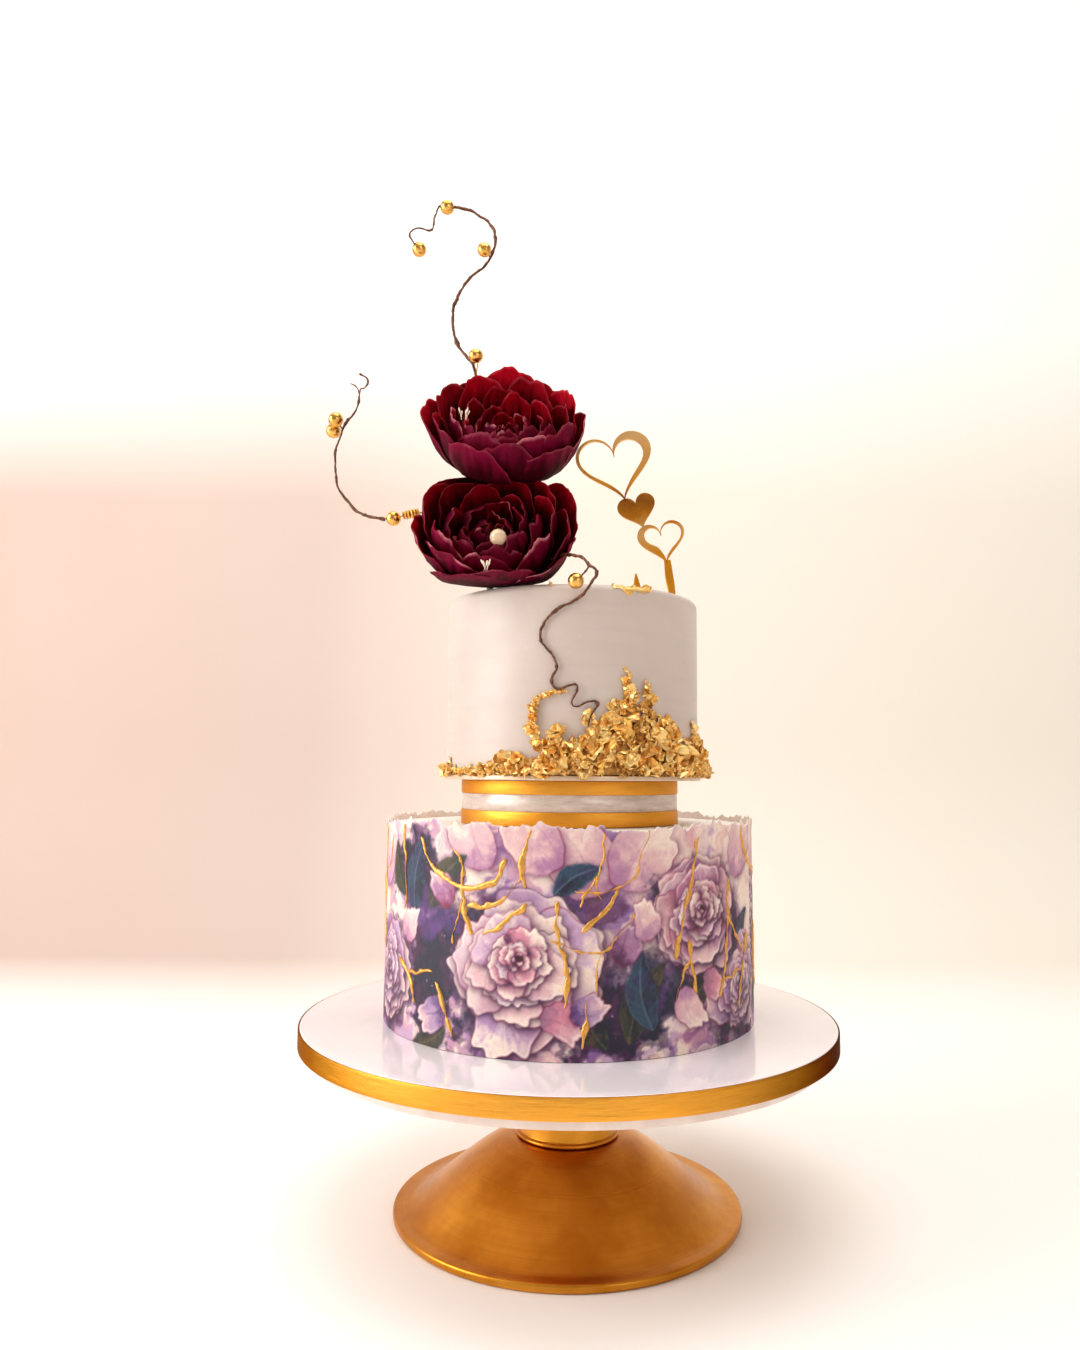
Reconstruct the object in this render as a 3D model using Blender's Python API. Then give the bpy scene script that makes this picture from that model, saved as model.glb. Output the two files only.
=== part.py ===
"""Tiered wedding cake on its round pedestal.

Two iced tiers with a ribboned spacer drum between them, a printed paper wrap
round the lower tier, two silk peonies with curly twigs and gold beads, gold leaf
flakes round the foot of the upper tier, a flat gold ornament, and the ribboned
board with the turned pedestal that carries it all.

Metres, +Z up.  The origin is on the pedestal's axis at table level; the front,
where the peonies look, is -Y.
"""
import math

import bmesh
import bpy
from mathutils import Matrix, Vector

MM = 0.001
GAP = 0.3 * MM                  # clearance between pieces that touch

# ---------------------------------------------------------------- named sizes
FOOT_R = 105.0 * MM             # flat flange of the pedestal's foot
FOOT_FLANGE = 4.6 * MM
FOOT_TOP_R = 31.5 * MM          # where the bell meets the collar
FOOT_TOP_Z = 43.5 * MM
COLLAR_R = 29.5 * MM
COLLAR_LIP = 2.2 * MM
PLATE_R = 155.0 * MM            # pale disc under the board
BOARD_TOP = 115.0 * MM
BOARD_R = 162.8 * MM            # outside of the ribbon round the board
BOARD_T = 11.2 * MM
PLATE_T = 6.4 * MM
RIBBON_T = 0.5 * MM

AXIS_Y = 5.0 * MM               # the tiers stand a little behind the board's middle
TIER1_R0 = 114.3 * MM           # outside of the paper at the board
TIER1_R1 = 113.8 * MM           # and near its rim
TIER1_H = 116.7 * MM
PAPER_T = 0.8 * MM
PAPER_PROUD = 3.6 * MM          # the torn rim stands above the icing
PAPER_TEAR = 1.5 * MM

DRUM_R = 67.9 * MM
BAND_R = 68.6 * MM
BAND_LOW = 8.6 * MM
BAND_HIGH = 8.0 * MM
DRUM_H = 26.6 * MM

DISC_R = 81.7 * MM              # thin board under the upper tier
DISC_T = 3.0 * MM
TIER2_X = 1.4 * MM
TIER2_R = 79.9 * MM
TIER2_EDGE = 4.2 * MM           # rounded top edge
TIER2_TOP = BOARD_TOP + 256.6 * MM

BEAD_R = 4.65 * MM
PEARL_R = 4.8 * MM

TIER1_Z = BOARD_TOP + GAP
TIER1_TOP = BOARD_TOP + TIER1_H
DRUM_Z = TIER1_TOP + GAP
DISC_Z = DRUM_Z + DRUM_H + GAP
TIER2_Z = DISC_Z + DISC_T + GAP

# ---------------------------------------------------------------- clean start
for _o in list(bpy.data.objects):
    bpy.data.objects.remove(_o, do_unlink=True)


def material(name, rgb, rough, metal=0.0):
    m = bpy.data.materials.new(name)
    m.use_nodes = True
    b = m.node_tree.nodes["Principled BSDF"]
    b.inputs["Base Color"].default_value = (*rgb, 1.0)
    b.inputs["Roughness"].default_value = rough
    b.inputs["Metallic"].default_value = metal
    return m


M_GOLD = material("spun_gold", (0.72, 0.42, 0.10), 0.28, 1.0)
M_RIBBON = material("gold_ribbon", (0.70, 0.40, 0.09), 0.35, 0.9)
M_WHITE = material("gloss_white", (0.86, 0.84, 0.85), 0.15)
M_ICING = material("white_icing", (0.88, 0.85, 0.84), 0.5)
M_MAUVE = material("mauve_icing", (0.58, 0.50, 0.48), 0.45)
M_PAPER = material("printed_paper", (0.50, 0.36, 0.52), 0.6)
M_SATIN = material("pale_satin", (0.72, 0.68, 0.68), 0.4)
M_FLAKE = material("leaf_gold", (0.80, 0.50, 0.15), 0.25, 1.0)
M_SILK = material("crimson_silk", (0.22, 0.005, 0.03), 0.7)
M_PEARL = material("pearl", (0.85, 0.75, 0.62), 0.25)
M_TWIG = material("brown_twig", (0.12, 0.055, 0.035), 0.75)
M_BEAD = material("gold_bead", (0.72, 0.44, 0.12), 0.3, 1.0)
M_MIRROR = material("gold_mirror", (0.70, 0.42, 0.10), 0.1, 1.0)
M_TAPE = material("stem_tape", (0.10, 0.12, 0.05), 0.8)


def finish(name, mesh, mat, smooth_deg=40.0, loc=(0, 0, 0)):
    mesh.materials.clear()
    mesh.materials.append(mat)
    for p in mesh.polygons:
        p.use_smooth = True
    mesh.set_sharp_from_angle(angle=math.radians(smooth_deg))
    ob = bpy.data.objects.new(name, mesh)
    ob.location = loc
    bpy.context.scene.collection.objects.link(ob)
    return ob


def mesh_from(bm, name):
    bmesh.ops.recalc_face_normals(bm, faces=bm.faces)
    me = bpy.data.meshes.new(name)
    bm.to_mesh(me)
    bm.free()
    return me


def turned(name, profile, steps, mat, loc=(0, 0, 0), closed=False):
    """Spin a profile of (radius, height) about Z; closed joins its two ends."""
    bm = bmesh.new()
    vs = [bm.verts.new((r, 0.0, z)) for r, z in profile]
    es = [bm.edges.new((vs[i], vs[i + 1])) for i in range(len(vs) - 1)]
    if closed:
        es.append(bm.edges.new((vs[-1], vs[0])))
    bmesh.ops.spin(bm, geom=vs + es, axis=(0, 0, 1), cent=(0, 0, 0),
                   angle=2 * math.pi, steps=steps, use_merge=True)
    bmesh.ops.remove_doubles(bm, verts=bm.verts, dist=1e-6)
    return finish(name, mesh_from(bm, name), mat, loc=loc)


def disc(name, r, z0, z1, steps, mat, bevel=0.0, loc=(0, 0, 0)):
    if bevel:
        prof = [(0, z0), (r - bevel, z0), (r, z0 + bevel), (r, z1 - bevel), (r - bevel, z1), (0, z1)]
    else:
        prof = [(0, z0), (r, z0), (r, z1), (0, z1)]
    return turned(name, prof, steps, mat, loc)


def hoop(name, r_in, r_out, z0, z1, steps, mat, loc=(0, 0, 0)):
    return turned(name, [(r_out, z1), (r_out, z0), (r_in, z0), (r_in, z1)], steps, mat, loc, closed=True)


def ball(name, centre, r, mat, seg=8, rings=6):
    bm = bmesh.new()
    bmesh.ops.create_uvsphere(bm, u_segments=seg, v_segments=rings, radius=r)
    return finish(name, mesh_from(bm, name), mat, 80.0, centre)


# ------------------------------------------------------------------ pedestal
def bell(k):
    """Height and radius of the pedestal's bell, k from the flange to the collar."""
    r = FOOT_TOP_R + (FOOT_R - 9 * MM - FOOT_TOP_R) * (1 - k) ** 1.15
    z = FOOT_FLANGE + (FOOT_TOP_Z - FOOT_FLANGE) * (math.sin(k * math.pi / 2) ** 1.25)
    return r, z


foot = [(0, 0), (FOOT_R - 0.8 * MM, 0), (FOOT_R, 1.2 * MM), (FOOT_R, FOOT_FLANGE - 1.0 * MM),
        (FOOT_R - 1.2 * MM, FOOT_FLANGE)]
foot += [bell(i / 5.0) for i in range(0, 6)] + [(0, FOOT_TOP_Z)]
turned("stand_foot", foot, 44, M_GOLD)

COLLAR_Z = FOOT_TOP_Z + GAP
COLLAR_TOP = BOARD_TOP - BOARD_T - PLATE_T - 2 * GAP
collar = [(0, COLLAR_Z), (COLLAR_R + COLLAR_LIP - 0.8 * MM, COLLAR_Z), (COLLAR_R + COLLAR_LIP, COLLAR_Z + 1.3 * MM),
          (COLLAR_R + COLLAR_LIP - 0.8 * MM, COLLAR_Z + 2.8 * MM), (COLLAR_R, COLLAR_Z + 3.6 * MM),
          (COLLAR_R, COLLAR_TOP), (0, COLLAR_TOP)]
turned("stand_collar", collar, 30, M_GOLD)

disc("stand_plate", PLATE_R, BOARD_TOP - BOARD_T - PLATE_T - GAP, BOARD_TOP - BOARD_T - GAP, 56, M_WHITE)
disc("cake_board", BOARD_R - RIBBON_T - GAP, BOARD_TOP - BOARD_T, BOARD_TOP, 64, M_WHITE, bevel=0.5 * MM)
hoop("board_ribbon", BOARD_R - RIBBON_T, BOARD_R, BOARD_TOP - BOARD_T, BOARD_TOP - 0.2 * MM, 64, M_RIBBON)

# --------------------------------------------------------------- lower tier
TIER1_AT = (0.0, AXIS_Y, 0.0)
turned("lower_tier", [(0, TIER1_Z), (TIER1_R0 - PAPER_T - GAP, TIER1_Z),
                      (TIER1_R1 - PAPER_T - GAP, TIER1_TOP - 1.2 * MM),
                      (TIER1_R1 - PAPER_T - GAP - 1.2 * MM, TIER1_TOP), (0, TIER1_TOP)], 56, M_ICING, TIER1_AT)


def tear(a):
    """Height of the torn rim above its mean, along the angle a."""
    return PAPER_TEAR * (0.55 * math.sin(7 * a + 0.4) * math.sin(3 * a + 1.1) + 0.35 * math.sin(19 * a)
                         + 0.3 * math.sin(31 * a + 2.0) + 0.25 * math.sin(47 * a + 0.7))


def paper_wrap(steps=72):
    bm = bmesh.new()
    loops = []
    for i in range(steps):
        a = 2 * math.pi * i / steps
        top = TIER1_TOP + PAPER_PROUD + tear(a)
        flare = 0.6 * MM * (1 + math.sin(5 * a + 0.8) * math.sin(2 * a))
        col = [(TIER1_R0, TIER1_Z), (TIER1_R1, TIER1_TOP - 4 * MM), (TIER1_R1 + flare, top),
               (TIER1_R1 + flare - PAPER_T, top), (TIER1_R1 - PAPER_T, TIER1_TOP - 4 * MM),
               (TIER1_R0 - PAPER_T, TIER1_Z)]
        loops.append([bm.verts.new((r * math.cos(a), r * math.sin(a), z)) for r, z in col])
    n = len(loops[0])
    for i in range(steps):
        p, q = loops[i], loops[(i + 1) % steps]
        for j in range(n):
            bm.faces.new((p[j], q[j], q[(j + 1) % n], p[(j + 1) % n]))
    return finish("paper_wrap", mesh_from(bm, "paper_wrap"), M_PAPER, loc=TIER1_AT)


paper_wrap()

# ------------------------------------------------------- spacer and its board
disc("spacer_drum", DRUM_R, DRUM_Z, DRUM_Z + DRUM_H, 40, M_SATIN, loc=TIER1_AT)
hoop("spacer_band_low", DRUM_R + GAP, BAND_R, DRUM_Z, DRUM_Z + BAND_LOW, 40, M_RIBBON, loc=TIER1_AT)
hoop("spacer_band_high", DRUM_R + GAP, BAND_R, DRUM_Z + DRUM_H - BAND_HIGH, DRUM_Z + DRUM_H, 40, M_RIBBON, loc=TIER1_AT)
TIER2_AT = (TIER2_X, AXIS_Y, 0.0)
disc("upper_board", DISC_R, DISC_Z, DISC_Z + DISC_T, 48, M_SATIN, loc=TIER2_AT)

tier2 = [(0, TIER2_Z), (TIER2_R, TIER2_Z)]
for i in range(4):
    t = math.pi / 2 * i / 3
    tier2.append((TIER2_R - TIER2_EDGE * (1 - math.cos(t)), TIER2_TOP - TIER2_EDGE * (1 - math.sin(t))))
tier2.append((0, TIER2_TOP))
turned("upper_tier", tier2, 56, M_MAUVE, TIER2_AT)


# -------------------------------------------------------------- gold flakes
def on_tier(deg, z, out=0.0):
    """A point on the upper tier's side; deg turns from the front towards +X."""
    a = math.radians(deg)
    r = TIER2_R + GAP + out
    return Vector((TIER2_X + r * math.sin(a), AXIS_Y - r * math.cos(a), z))


def tents(deg, base, peaks):
    """Height of a heap's outline: the highest of a row of tent shapes."""
    return max([base] + [base + (z - base) * (1 - abs(deg - at) / half) for at, z, half in peaks])


def crumple(deg, v):
    return 0.5 + 0.5 * math.sin(1.9 * deg + 7 * v) * math.cos(0.83 * deg - 11 * v)


def heap(name, d0, d1, nd, nv, base, peaks, thick, bottom=TIER2_Z + 0.2 * MM):
    """A heap of flakes against the tier, solid out to its uneven outline."""
    bm = bmesh.new()
    outer, inner = [], []
    for i in range(nd + 1):
        d = d0 + (d1 - d0) * i / nd
        fade = min(1.0, 4.0 * min(i, nd - i) / nd + 0.25)
        top = tents(d, base, peaks)
        col = []
        for j in range(nv + 1):
            v = j / nv
            swell = (math.sin(math.pi * min(1.0, 0.28 + 0.72 * v)) ** 0.8) * (0.65 + 0.6 * crumple(d, v))
            out = 0.9 * MM + thick * fade * swell * (1.0 if v < 1 else 0.0)
            col.append(bm.verts.new(on_tier(d, bottom + (top - bottom) * v, out)))
        outer.append(col)
        inner.append([bm.verts.new(on_tier(d, bottom)), bm.verts.new(on_tier(d, top))])
    for i in range(nd):
        p, q = outer[i], outer[i + 1]
        for j in range(nv):
            bm.faces.new((p[j], q[j], q[j + 1], p[j + 1]))
        a, b = inner[i], inner[i + 1]
        bm.faces.new((a[0], a[1], b[1], b[0]))
        bm.faces.new((p[nv], q[nv], b[1], a[1]))
        bm.faces.new((p[0], a[0], b[0], q[0]))
    bm.faces.new(outer[0] + [inner[0][1], inner[0][0]])
    bm.faces.new(list(reversed(outer[nd])) + [inner[nd][0], inner[nd][1]])
    bmesh.ops.triangulate(bm, faces=bm.faces)
    return finish(name, mesh_from(bm, name), M_FLAKE, 60.0)


MAIN_PEAKS = [(-13.6, 279 * MM, 5), (-7.5, 291 * MM, 8), (6.4, 296 * MM, 9), (14.6, 305 * MM, 9),
              (22.3, 324 * MM, 8.5), (31.6, 312 * MM, 15), (41, 299 * MM, 20), (52, 287 * MM, 24),
              (64.3, 293 * MM, 11), (76, 281 * MM, 30)]
heap("flakes_main", -15.2, 112, 40, 5, 272 * MM, MAIN_PEAKS, 8.0 * MM)
COLLAR_PEAKS = [(-27, 276 * MM, 13), (-68, 271 * MM, 8), (-45, 268 * MM, 10)]
heap("flakes_left", -108, -15.9, 22, 2, 265.5 * MM, COLLAR_PEAKS, 5.0 * MM)
heap("flakes_back", 112.6, 251.4, 18, 1, 266 * MM, [(150, 270 * MM, 20), (205, 269 * MM, 25)], 3.5 * MM)


def route(points, per=3):
    """A smooth curve read through a route's own points."""
    pts = [Vector(p) for p in points]
    pts = [pts[0] * 2 - pts[1]] + pts + [pts[-1] * 2 - pts[-2]]
    out = []
    for i in range(1, len(pts) - 2):
        p0, p1, p2, p3 = pts[i - 1], pts[i], pts[i + 1], pts[i + 2]
        for k in range(per):
            t = k / per
            out.append(0.5 * ((2 * p1) + (p2 - p0) * t + (2 * p0 - 5 * p1 + 4 * p2 - p3) * t * t
                              + (3 * p1 - p0 - 3 * p2 + p3) * t ** 3))
    out.append(pts[-2])
    return out


def rod(name, points, r0, r1, mat, res=1):
    """A round rod along points, tapering from r0 to r1."""
    cu = bpy.data.curves.new(name, "CURVE")
    cu.dimensions = "3D"
    cu.bevel_depth = r0
    cu.bevel_resolution = res
    cu.use_fill_caps = True
    sp = cu.splines.new("POLY")
    sp.points.add(len(points) - 1)
    for i, p in enumerate(points):
        sp.points[i].co = (p[0], p[1], p[2], 1.0)
        sp.points[i].radius = 1.0 + (r1 / r0 - 1.0) * i / (len(points) - 1)
    sp.use_smooth = True
    cu.materials.append(mat)
    ob = bpy.data.objects.new(name, cu)
    bpy.context.scene.collection.objects.link(ob)
    return ob


CURL_R = 3.0 * MM
curl_route = [(-16.6, 288), (-16.9, 296), (-15.6, 303), (-11.5, 307), (-7.5, 308.6), (-4.4, 309.8)]
rod("flakes_curl", [on_tier(d, z * MM, CURL_R + 0.2 * MM) for d, z in curl_route], CURL_R, 1.3 * MM, M_FLAKE)


def edge_flakes():
    """The few flakes folded over the tier's top edge."""
    bm = bmesh.new()
    rows = []
    n = 8
    for i in range(n + 1):
        k = i / n
        d = 16.0 + 18.0 * k
        half = 0.35 + 0.65 * math.sin(math.pi * k) ** 0.7
        col = []
        for side, out in ((0, GAP), (1, 1.5 * MM)):
            for j in range(4):
                t = math.radians(-8 + 90 * half * j / 3)
                r = TIER2_R - TIER2_EDGE + (TIER2_EDGE + out + 0.25 * MM) * math.cos(t)
                z = TIER2_TOP - TIER2_EDGE + (TIER2_EDGE + out + 0.25 * MM) * math.sin(t)
                a = math.radians(d)
                col.append(Vector((TIER2_X + r * math.sin(a), AXIS_Y - r * math.cos(a), z)))
        order = [0, 1, 2, 3, 7, 6, 5, 4]
        rows.append([bm.verts.new(col[o]) for o in order])
    for i in range(n):
        p, q = rows[i], rows[i + 1]
        for j in range(8):
            bm.faces.new((p[j], q[j], q[(j + 1) % 8], p[(j + 1) % 8]))
    bm.faces.new(rows[0])
    bm.faces.new(list(reversed(rows[n])))
    bmesh.ops.triangulate(bm, faces=bm.faces)
    return finish("flakes_edge", mesh_from(bm, "flakes_edge"), M_FLAKE, 60.0)


edge_flakes()

# ------------------------------------------------------------------ peonies
PEONY_R = 48.5 * MM
PEONY_DEEP = 46.0 * MM


def peony(name, centre, elev, turn, keep, lobes):
    """A full double peony: lobed guard petals, a cup, and a ruffled heart.

    centre is the middle of the rim, elev and turn aim its face, keep is a list
    of (point, normal) planes whose positive side stays.
    """
    bm = bmesh.new()
    prof = [(0.34, -1.00, 0.00), (0.66, -0.84, 0.02), (0.88, -0.48, 0.04), (0.98, -0.10, 0.07),
            (0.99, 0.14, 0.09), (0.80, 0.04, 0.05), (0.75, 0.26, 0.07), (0.53, -0.06, 0.05),
            (0.44, 0.08, 0.07), (0.20, -0.20, 0.04)]
    n = 28
    rings = []
    for k, (r, w, amp) in enumerate(prof):
        ring = []
        for i in range(n):
            a = 2 * math.pi * i / n
            m = abs(math.sin(lobes * a / 2 + 0.9 * k)) ** 0.7
            rr = PEONY_R * r * (1 - amp + amp * 1.6 * m)
            ww = PEONY_DEEP * (w + amp * 1.1 * (m - 0.5))
            ring.append(bm.verts.new((rr * math.cos(a), rr * math.sin(a), ww)))
        rings.append(ring)
    for p, q in zip(rings, rings[1:]):
        for i in range(n):
            bm.faces.new((p[i], p[(i + 1) % n], q[(i + 1) % n], q[i]))
    for ring, w in ((rings[0], -1.06), (rings[-1], -0.22)):
        pole = bm.verts.new((0, 0, PEONY_DEEP * w))
        for i in range(n):
            bm.faces.new((pole, ring[i], ring[(i + 1) % n]))
    bmesh.ops.recalc_face_normals(bm, faces=bm.faces)
    face = Matrix.Translation(centre) @ Matrix.Rotation(turn, 4, "Z") @ Matrix.Rotation(math.pi / 2 - elev, 4, "X")
    bmesh.ops.transform(bm, matrix=face, verts=bm.verts)
    for at, nor in keep:
        cut = bmesh.ops.bisect_plane(bm, geom=bm.verts[:] + bm.edges[:] + bm.faces[:], plane_co=at, plane_no=nor,
                                     clear_inner=True)
        rim = [e for e in cut["geom_cut"] if isinstance(e, bmesh.types.BMEdge)]
        bmesh.ops.holes_fill(bm, edges=rim, sides=0)
    bmesh.ops.triangulate(bm, faces=bm.faces)
    return finish(name, mesh_from(bm, name), M_SILK, 50.0)


LOW_C = Vector((-49.5, -51.0, 411.0)) * MM
UP_C = Vector((-44.5, -35.0, 491.0)) * MM
LOW_ELEV, LOW_TURN = math.radians(28), math.radians(3)
UP_ELEV, UP_TURN = math.radians(44), math.radians(4)
SPLIT_AT = Vector((-47.0, -40.0, 441.0)) * MM
SPLIT_N = Vector((0.0, -0.42, 0.91)).normalized()
SEAT = Vector((0, 0, TIER2_TOP + GAP))

peony("peony_upper", UP_C, UP_ELEV, UP_TURN, [(SPLIT_AT + SPLIT_N * 0.2 * MM, SPLIT_N)], 7)
peony("peony_lower", LOW_C, LOW_ELEV, LOW_TURN, [(SPLIT_AT - SPLIT_N * 0.2 * MM, -SPLIT_N), (SEAT, Vector((0, 0, 1)))], 6)


def facing(elev, turn):
    m = Matrix.Rotation(turn, 3, "Z") @ Matrix.Rotation(math.pi / 2 - elev, 3, "X")
    return m @ Vector((0, 0, 1))


STEM_R = 1.7 * MM


def stem(name, centre, elev, turn, down_at):
    """Taped wire from a flower's back into the top of the tier."""
    f = facing(elev, turn)
    start = centre - f * (PEONY_DEEP * 1.06 + STEM_R * 0.2 + GAP)
    seat = Vector((down_at[0] * MM, down_at[1] * MM, TIER2_TOP + GAP))
    bend = start - f * 7 * MM
    mid = Vector((seat.x, seat.y, bend.z - 12 * MM))
    if mid.z < seat.z + 3 * MM:
        mid.z = (bend.z + seat.z) / 2
    rod(name, route([start, bend, mid, seat], 2), STEM_R, STEM_R, M_TAPE)


stem("stem_upper", UP_C, UP_ELEV, UP_TURN, (-43.0, 8.0))
stem("stem_lower", LOW_C, LOW_ELEV, LOW_TURN, (-52.0, -3.0))

PEARL_AT = Vector((-43.0, -71.5, 398.6)) * MM
ball("pearl", PEARL_AT, PEARL_R, M_PEARL, 10, 8)

# --------------------------------------------------------- twigs and beads
TWIG_R = 0.95 * MM


def mm(points):
    return [Vector(p) * MM for p in points]


def beads(places):
    for name, at in places:
        ball(name, Vector(at) * MM, BEAD_R, M_BEAD)


# the twig over the upper peony: its first stretch, a bead, and its curled end
top_first = mm([(-64.6, -14, 526.0), (-69.1, -12, 531.7), (-76.1, -9, 543.7), (-78.8, -6, 560.8), (-76.0, -6, 575.9),
                (-67.6, -9, 586.8), (-57.2, -13, 593.4), (-51.9, -15, 603.0), (-51.3, -14, 613.1), (-54.4, -11, 622.4),
                (-62.4, -8, 630.7), (-70.2, -7, 635.4), (-77.9, -8, 636.5)])
rod("twig_top", route(top_first, 2), TWIG_R, 0.8 * MM, M_TWIG)
top_end = mm([(-89.1, -10, 635.4), (-91.0, -14, 625.7), (-91.3, -18, 617.1), (-93.1, -20, 613.6),
              (-100.6, -22, 613.5), (-104.9, -22, 611.7), (-105.8, -21, 608.5), (-103.9, -19.2, 605.6)])
rod("twig_top_end", route(top_end, 2), 0.55 * MM, 0.6 * MM, M_TWIG)
beads([("bead_top_high", (-83.5, -9.0, 635.7)), ("bead_top_tip", (-100.2, -17.5, 601.7)),
       ("bead_top_side", (-57.7, -18.9, 601.0)), ("bead_top_root", (-62.3, -16.5, 530.6))])

# the twig at the left, behind its ribbed bead and a round one
rod("bead_ribbed", mm([(-97.0, -27.5, 423.9), (-101.0, -27.5, 423.2), (-105.2, -27.0, 422.3)]), 2.9 * MM, 2.7 * MM, M_BEAD, 2)
left = mm([(-116.9, -26, 420.3), (-128.1, -24, 422.8), (-136.6, -22, 427.7), (-142.8, -21, 434.4), (-148.3, -20, 443.7),
           (-150.2, -20, 454.0), (-149.9, -21, 464.8), (-147.3, -22, 473.6), (-143.9, -22, 482.8), (-139.4, -20, 490.1),
           (-137.1, -18, 497.7), (-136.9, -17, 504.0), (-136.3, -17.2, 507.8), (-133.6, -18, 508.2),
           (-130.9, -19, 511.0), (-131.9, -20, 514.0), (-136.2, -21, 516.2)])
rod("twig_left", route(left, 2), TWIG_R, 0.45 * MM, M_TWIG)
beads([("bead_left", (-111.3, -26.0, 420.8)), ("bead_left_pair_high", (-148.8, -28.0, 483.4)),
       ("bead_left_pair_low", (-152.1, -19.5, 479.2))])

# the twig that leaves under the lower peony, loops round a bead and trails down the tier
front = mm([(-3.0, -65, 390.0), (1.5, -70, 388.6), (5.5, -75, 386.5), (9.4, -81, 380.6), (12.4, -84, 378.3), (13.4, -86, 374.2),
            (10.4, -85, 369.6), (7.9, -82, 366.6)])
TRAIL = [(1.5, 362.5), (-7.0, 355.5), (-12.9, 346.5), (-13.7, 340), (-12.1, 335), (-9.6, 331), (-7.6, 327),
         (-7.2, 322), (-8.8, 317), (-8.4, 312.6), (-5.6, 311), (-1.6, 313), (0.9, 313), (1.1, 310), (-0.6, 305),
         (-0.9, 301.6), (1.2, 300.6), (4.7, 303), (8.2, 304.2), (9.4, 302.4), (9.0, 300.2)]
front += [on_tier(d, z * MM, TWIG_R + 0.15 * MM) for d, z in TRAIL]
rod("twig_front", route(front, 2), TWIG_R, 0.55 * MM, M_TWIG)
beads([("bead_front", (2.0, -82.5, 371.2))])


# ---------------------------------------------------------------- ornament
CUT_T = 2.4 * MM
CUT_Y = -15.0 * MM


def heart(t):
    return (16 * math.sin(t) ** 3 / 17.0,
            (13 * math.cos(t) - 5 * math.cos(2 * t) - 2 * math.cos(3 * t) - math.cos(4 * t)) / 17.0)


def flat_heart(name, cx, cz, size, tilt, thin, thick, lean, extra=0.0, n=32):
    """A heart cut from flat sheet; an open one has a stroke that swells and thins."""
    bm = bmesh.new()
    ct, st = math.cos(tilt), math.sin(tilt)
    fronts = []
    for y in (CUT_Y - CUT_T / 2 - extra, CUT_Y + CUT_T / 2 + extra):
        outer, inner = [], []
        for i in range(n):
            t = 2 * math.pi * (i + 0.5) / n
            hx, hz = heart(t)
            x, z = hx * size, hz * size
            outer.append(bm.verts.new((cx + x * ct - z * st, y, cz + x * st + z * ct)))
            if thin:
                d = math.hypot(x, z)
                k = 1 - min(0.8, (thin + (thick - thin) * max(0.0, math.cos(t - lean)) ** 1.5) / max(d, 1e-6))
                inner.append(bm.verts.new((cx + k * (x * ct - z * st), y, cz + k * (x * st + z * ct))))
        fronts.append((outer, inner))
    (o0, i0), (o1, i1) = fronts
    for k in range(n):
        m = (k + 1) % n
        bm.faces.new((o0[k], o0[m], o1[m], o1[k]))
        if thin:
            bm.faces.new((i0[k], i1[k], i1[m], i0[m]))
            bm.faces.new((o0[k], i0[k], i0[m], o0[m]))
            bm.faces.new((o1[k], o1[m], i1[m], i1[k]))
    if not thin:
        bm.faces.new(o0)
        bm.faces.new(list(reversed(o1)))
        bmesh.ops.triangulate(bm, faces=[f for f in bm.faces if len(f.verts) > 4])
    return finish(name, mesh_from(bm, name), M_MIRROR, 30.0)


def flat_strip(name, rungs, extra=0.0):
    """A tapering strip of the same sheet; rungs are (x, z, width) from one end to the other."""
    bm = bmesh.new()
    sides = []
    for x, z, w in rungs:
        sides.append([bm.verts.new((x + s * w / 2, CUT_Y + f * (CUT_T / 2 + extra), z))
                      for s, f in ((-1, -1), (1, -1), (1, 1), (-1, 1))])
    for p, q in zip(sides, sides[1:]):
        for j in range(4):
            bm.faces.new((p[j], p[(j + 1) % 4], q[(j + 1) % 4], q[j]))
    bm.faces.new(sides[0])
    bm.faces.new(list(reversed(sides[-1])))
    return finish(name, mesh_from(bm, name), M_MIRROR, 30.0)


FOOT_Z = TIER2_TOP + GAP
topper = flat_heart("topper", 28 * MM, 461 * MM, 26 * MM, math.radians(14), 2.2 * MM, 6.5 * MM, math.radians(60))
joins = [flat_heart("cut_small", 42 * MM, 430.5 * MM, 13 * MM, math.radians(18), 0, 0, 0, 0.15 * MM, 20),
         flat_heart("cut_low", 57.5 * MM, 411 * MM, 16 * MM, math.radians(12), 2.0 * MM, 5.0 * MM, math.radians(250)),
         flat_strip("cut_stake", [(60.9 * MM, 398.0 * MM, 4.2 * MM), (62.3 * MM, 386 * MM, 5.2 * MM),
                                  (63.6 * MM, 378 * MM, 4.6 * MM), (64.0 * MM, FOOT_Z, 4.0 * MM)], 0.1 * MM)]
for other in joins:
    other.hide_render = True
    other.display_type = "WIRE"
    mod = topper.modifiers.new(other.name, "BOOLEAN")
    mod.operation = "UNION"
    mod.object = other
flat_strip("topper_tab", [(42.4 * MM, FOOT_Z, 6.5 * MM), (42.0 * MM, 378 * MM, 5.2 * MM),
                          (41.4 * MM, 384 * MM, 3.2 * MM), (41.0 * MM, 389 * MM, 0.7 * MM)])
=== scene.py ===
"""Looks of the tiered wedding cake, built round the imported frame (metres, +Z up, front at -Y)."""
import math

import bpy
import numpy as np
from mathutils import Matrix, Vector


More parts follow.
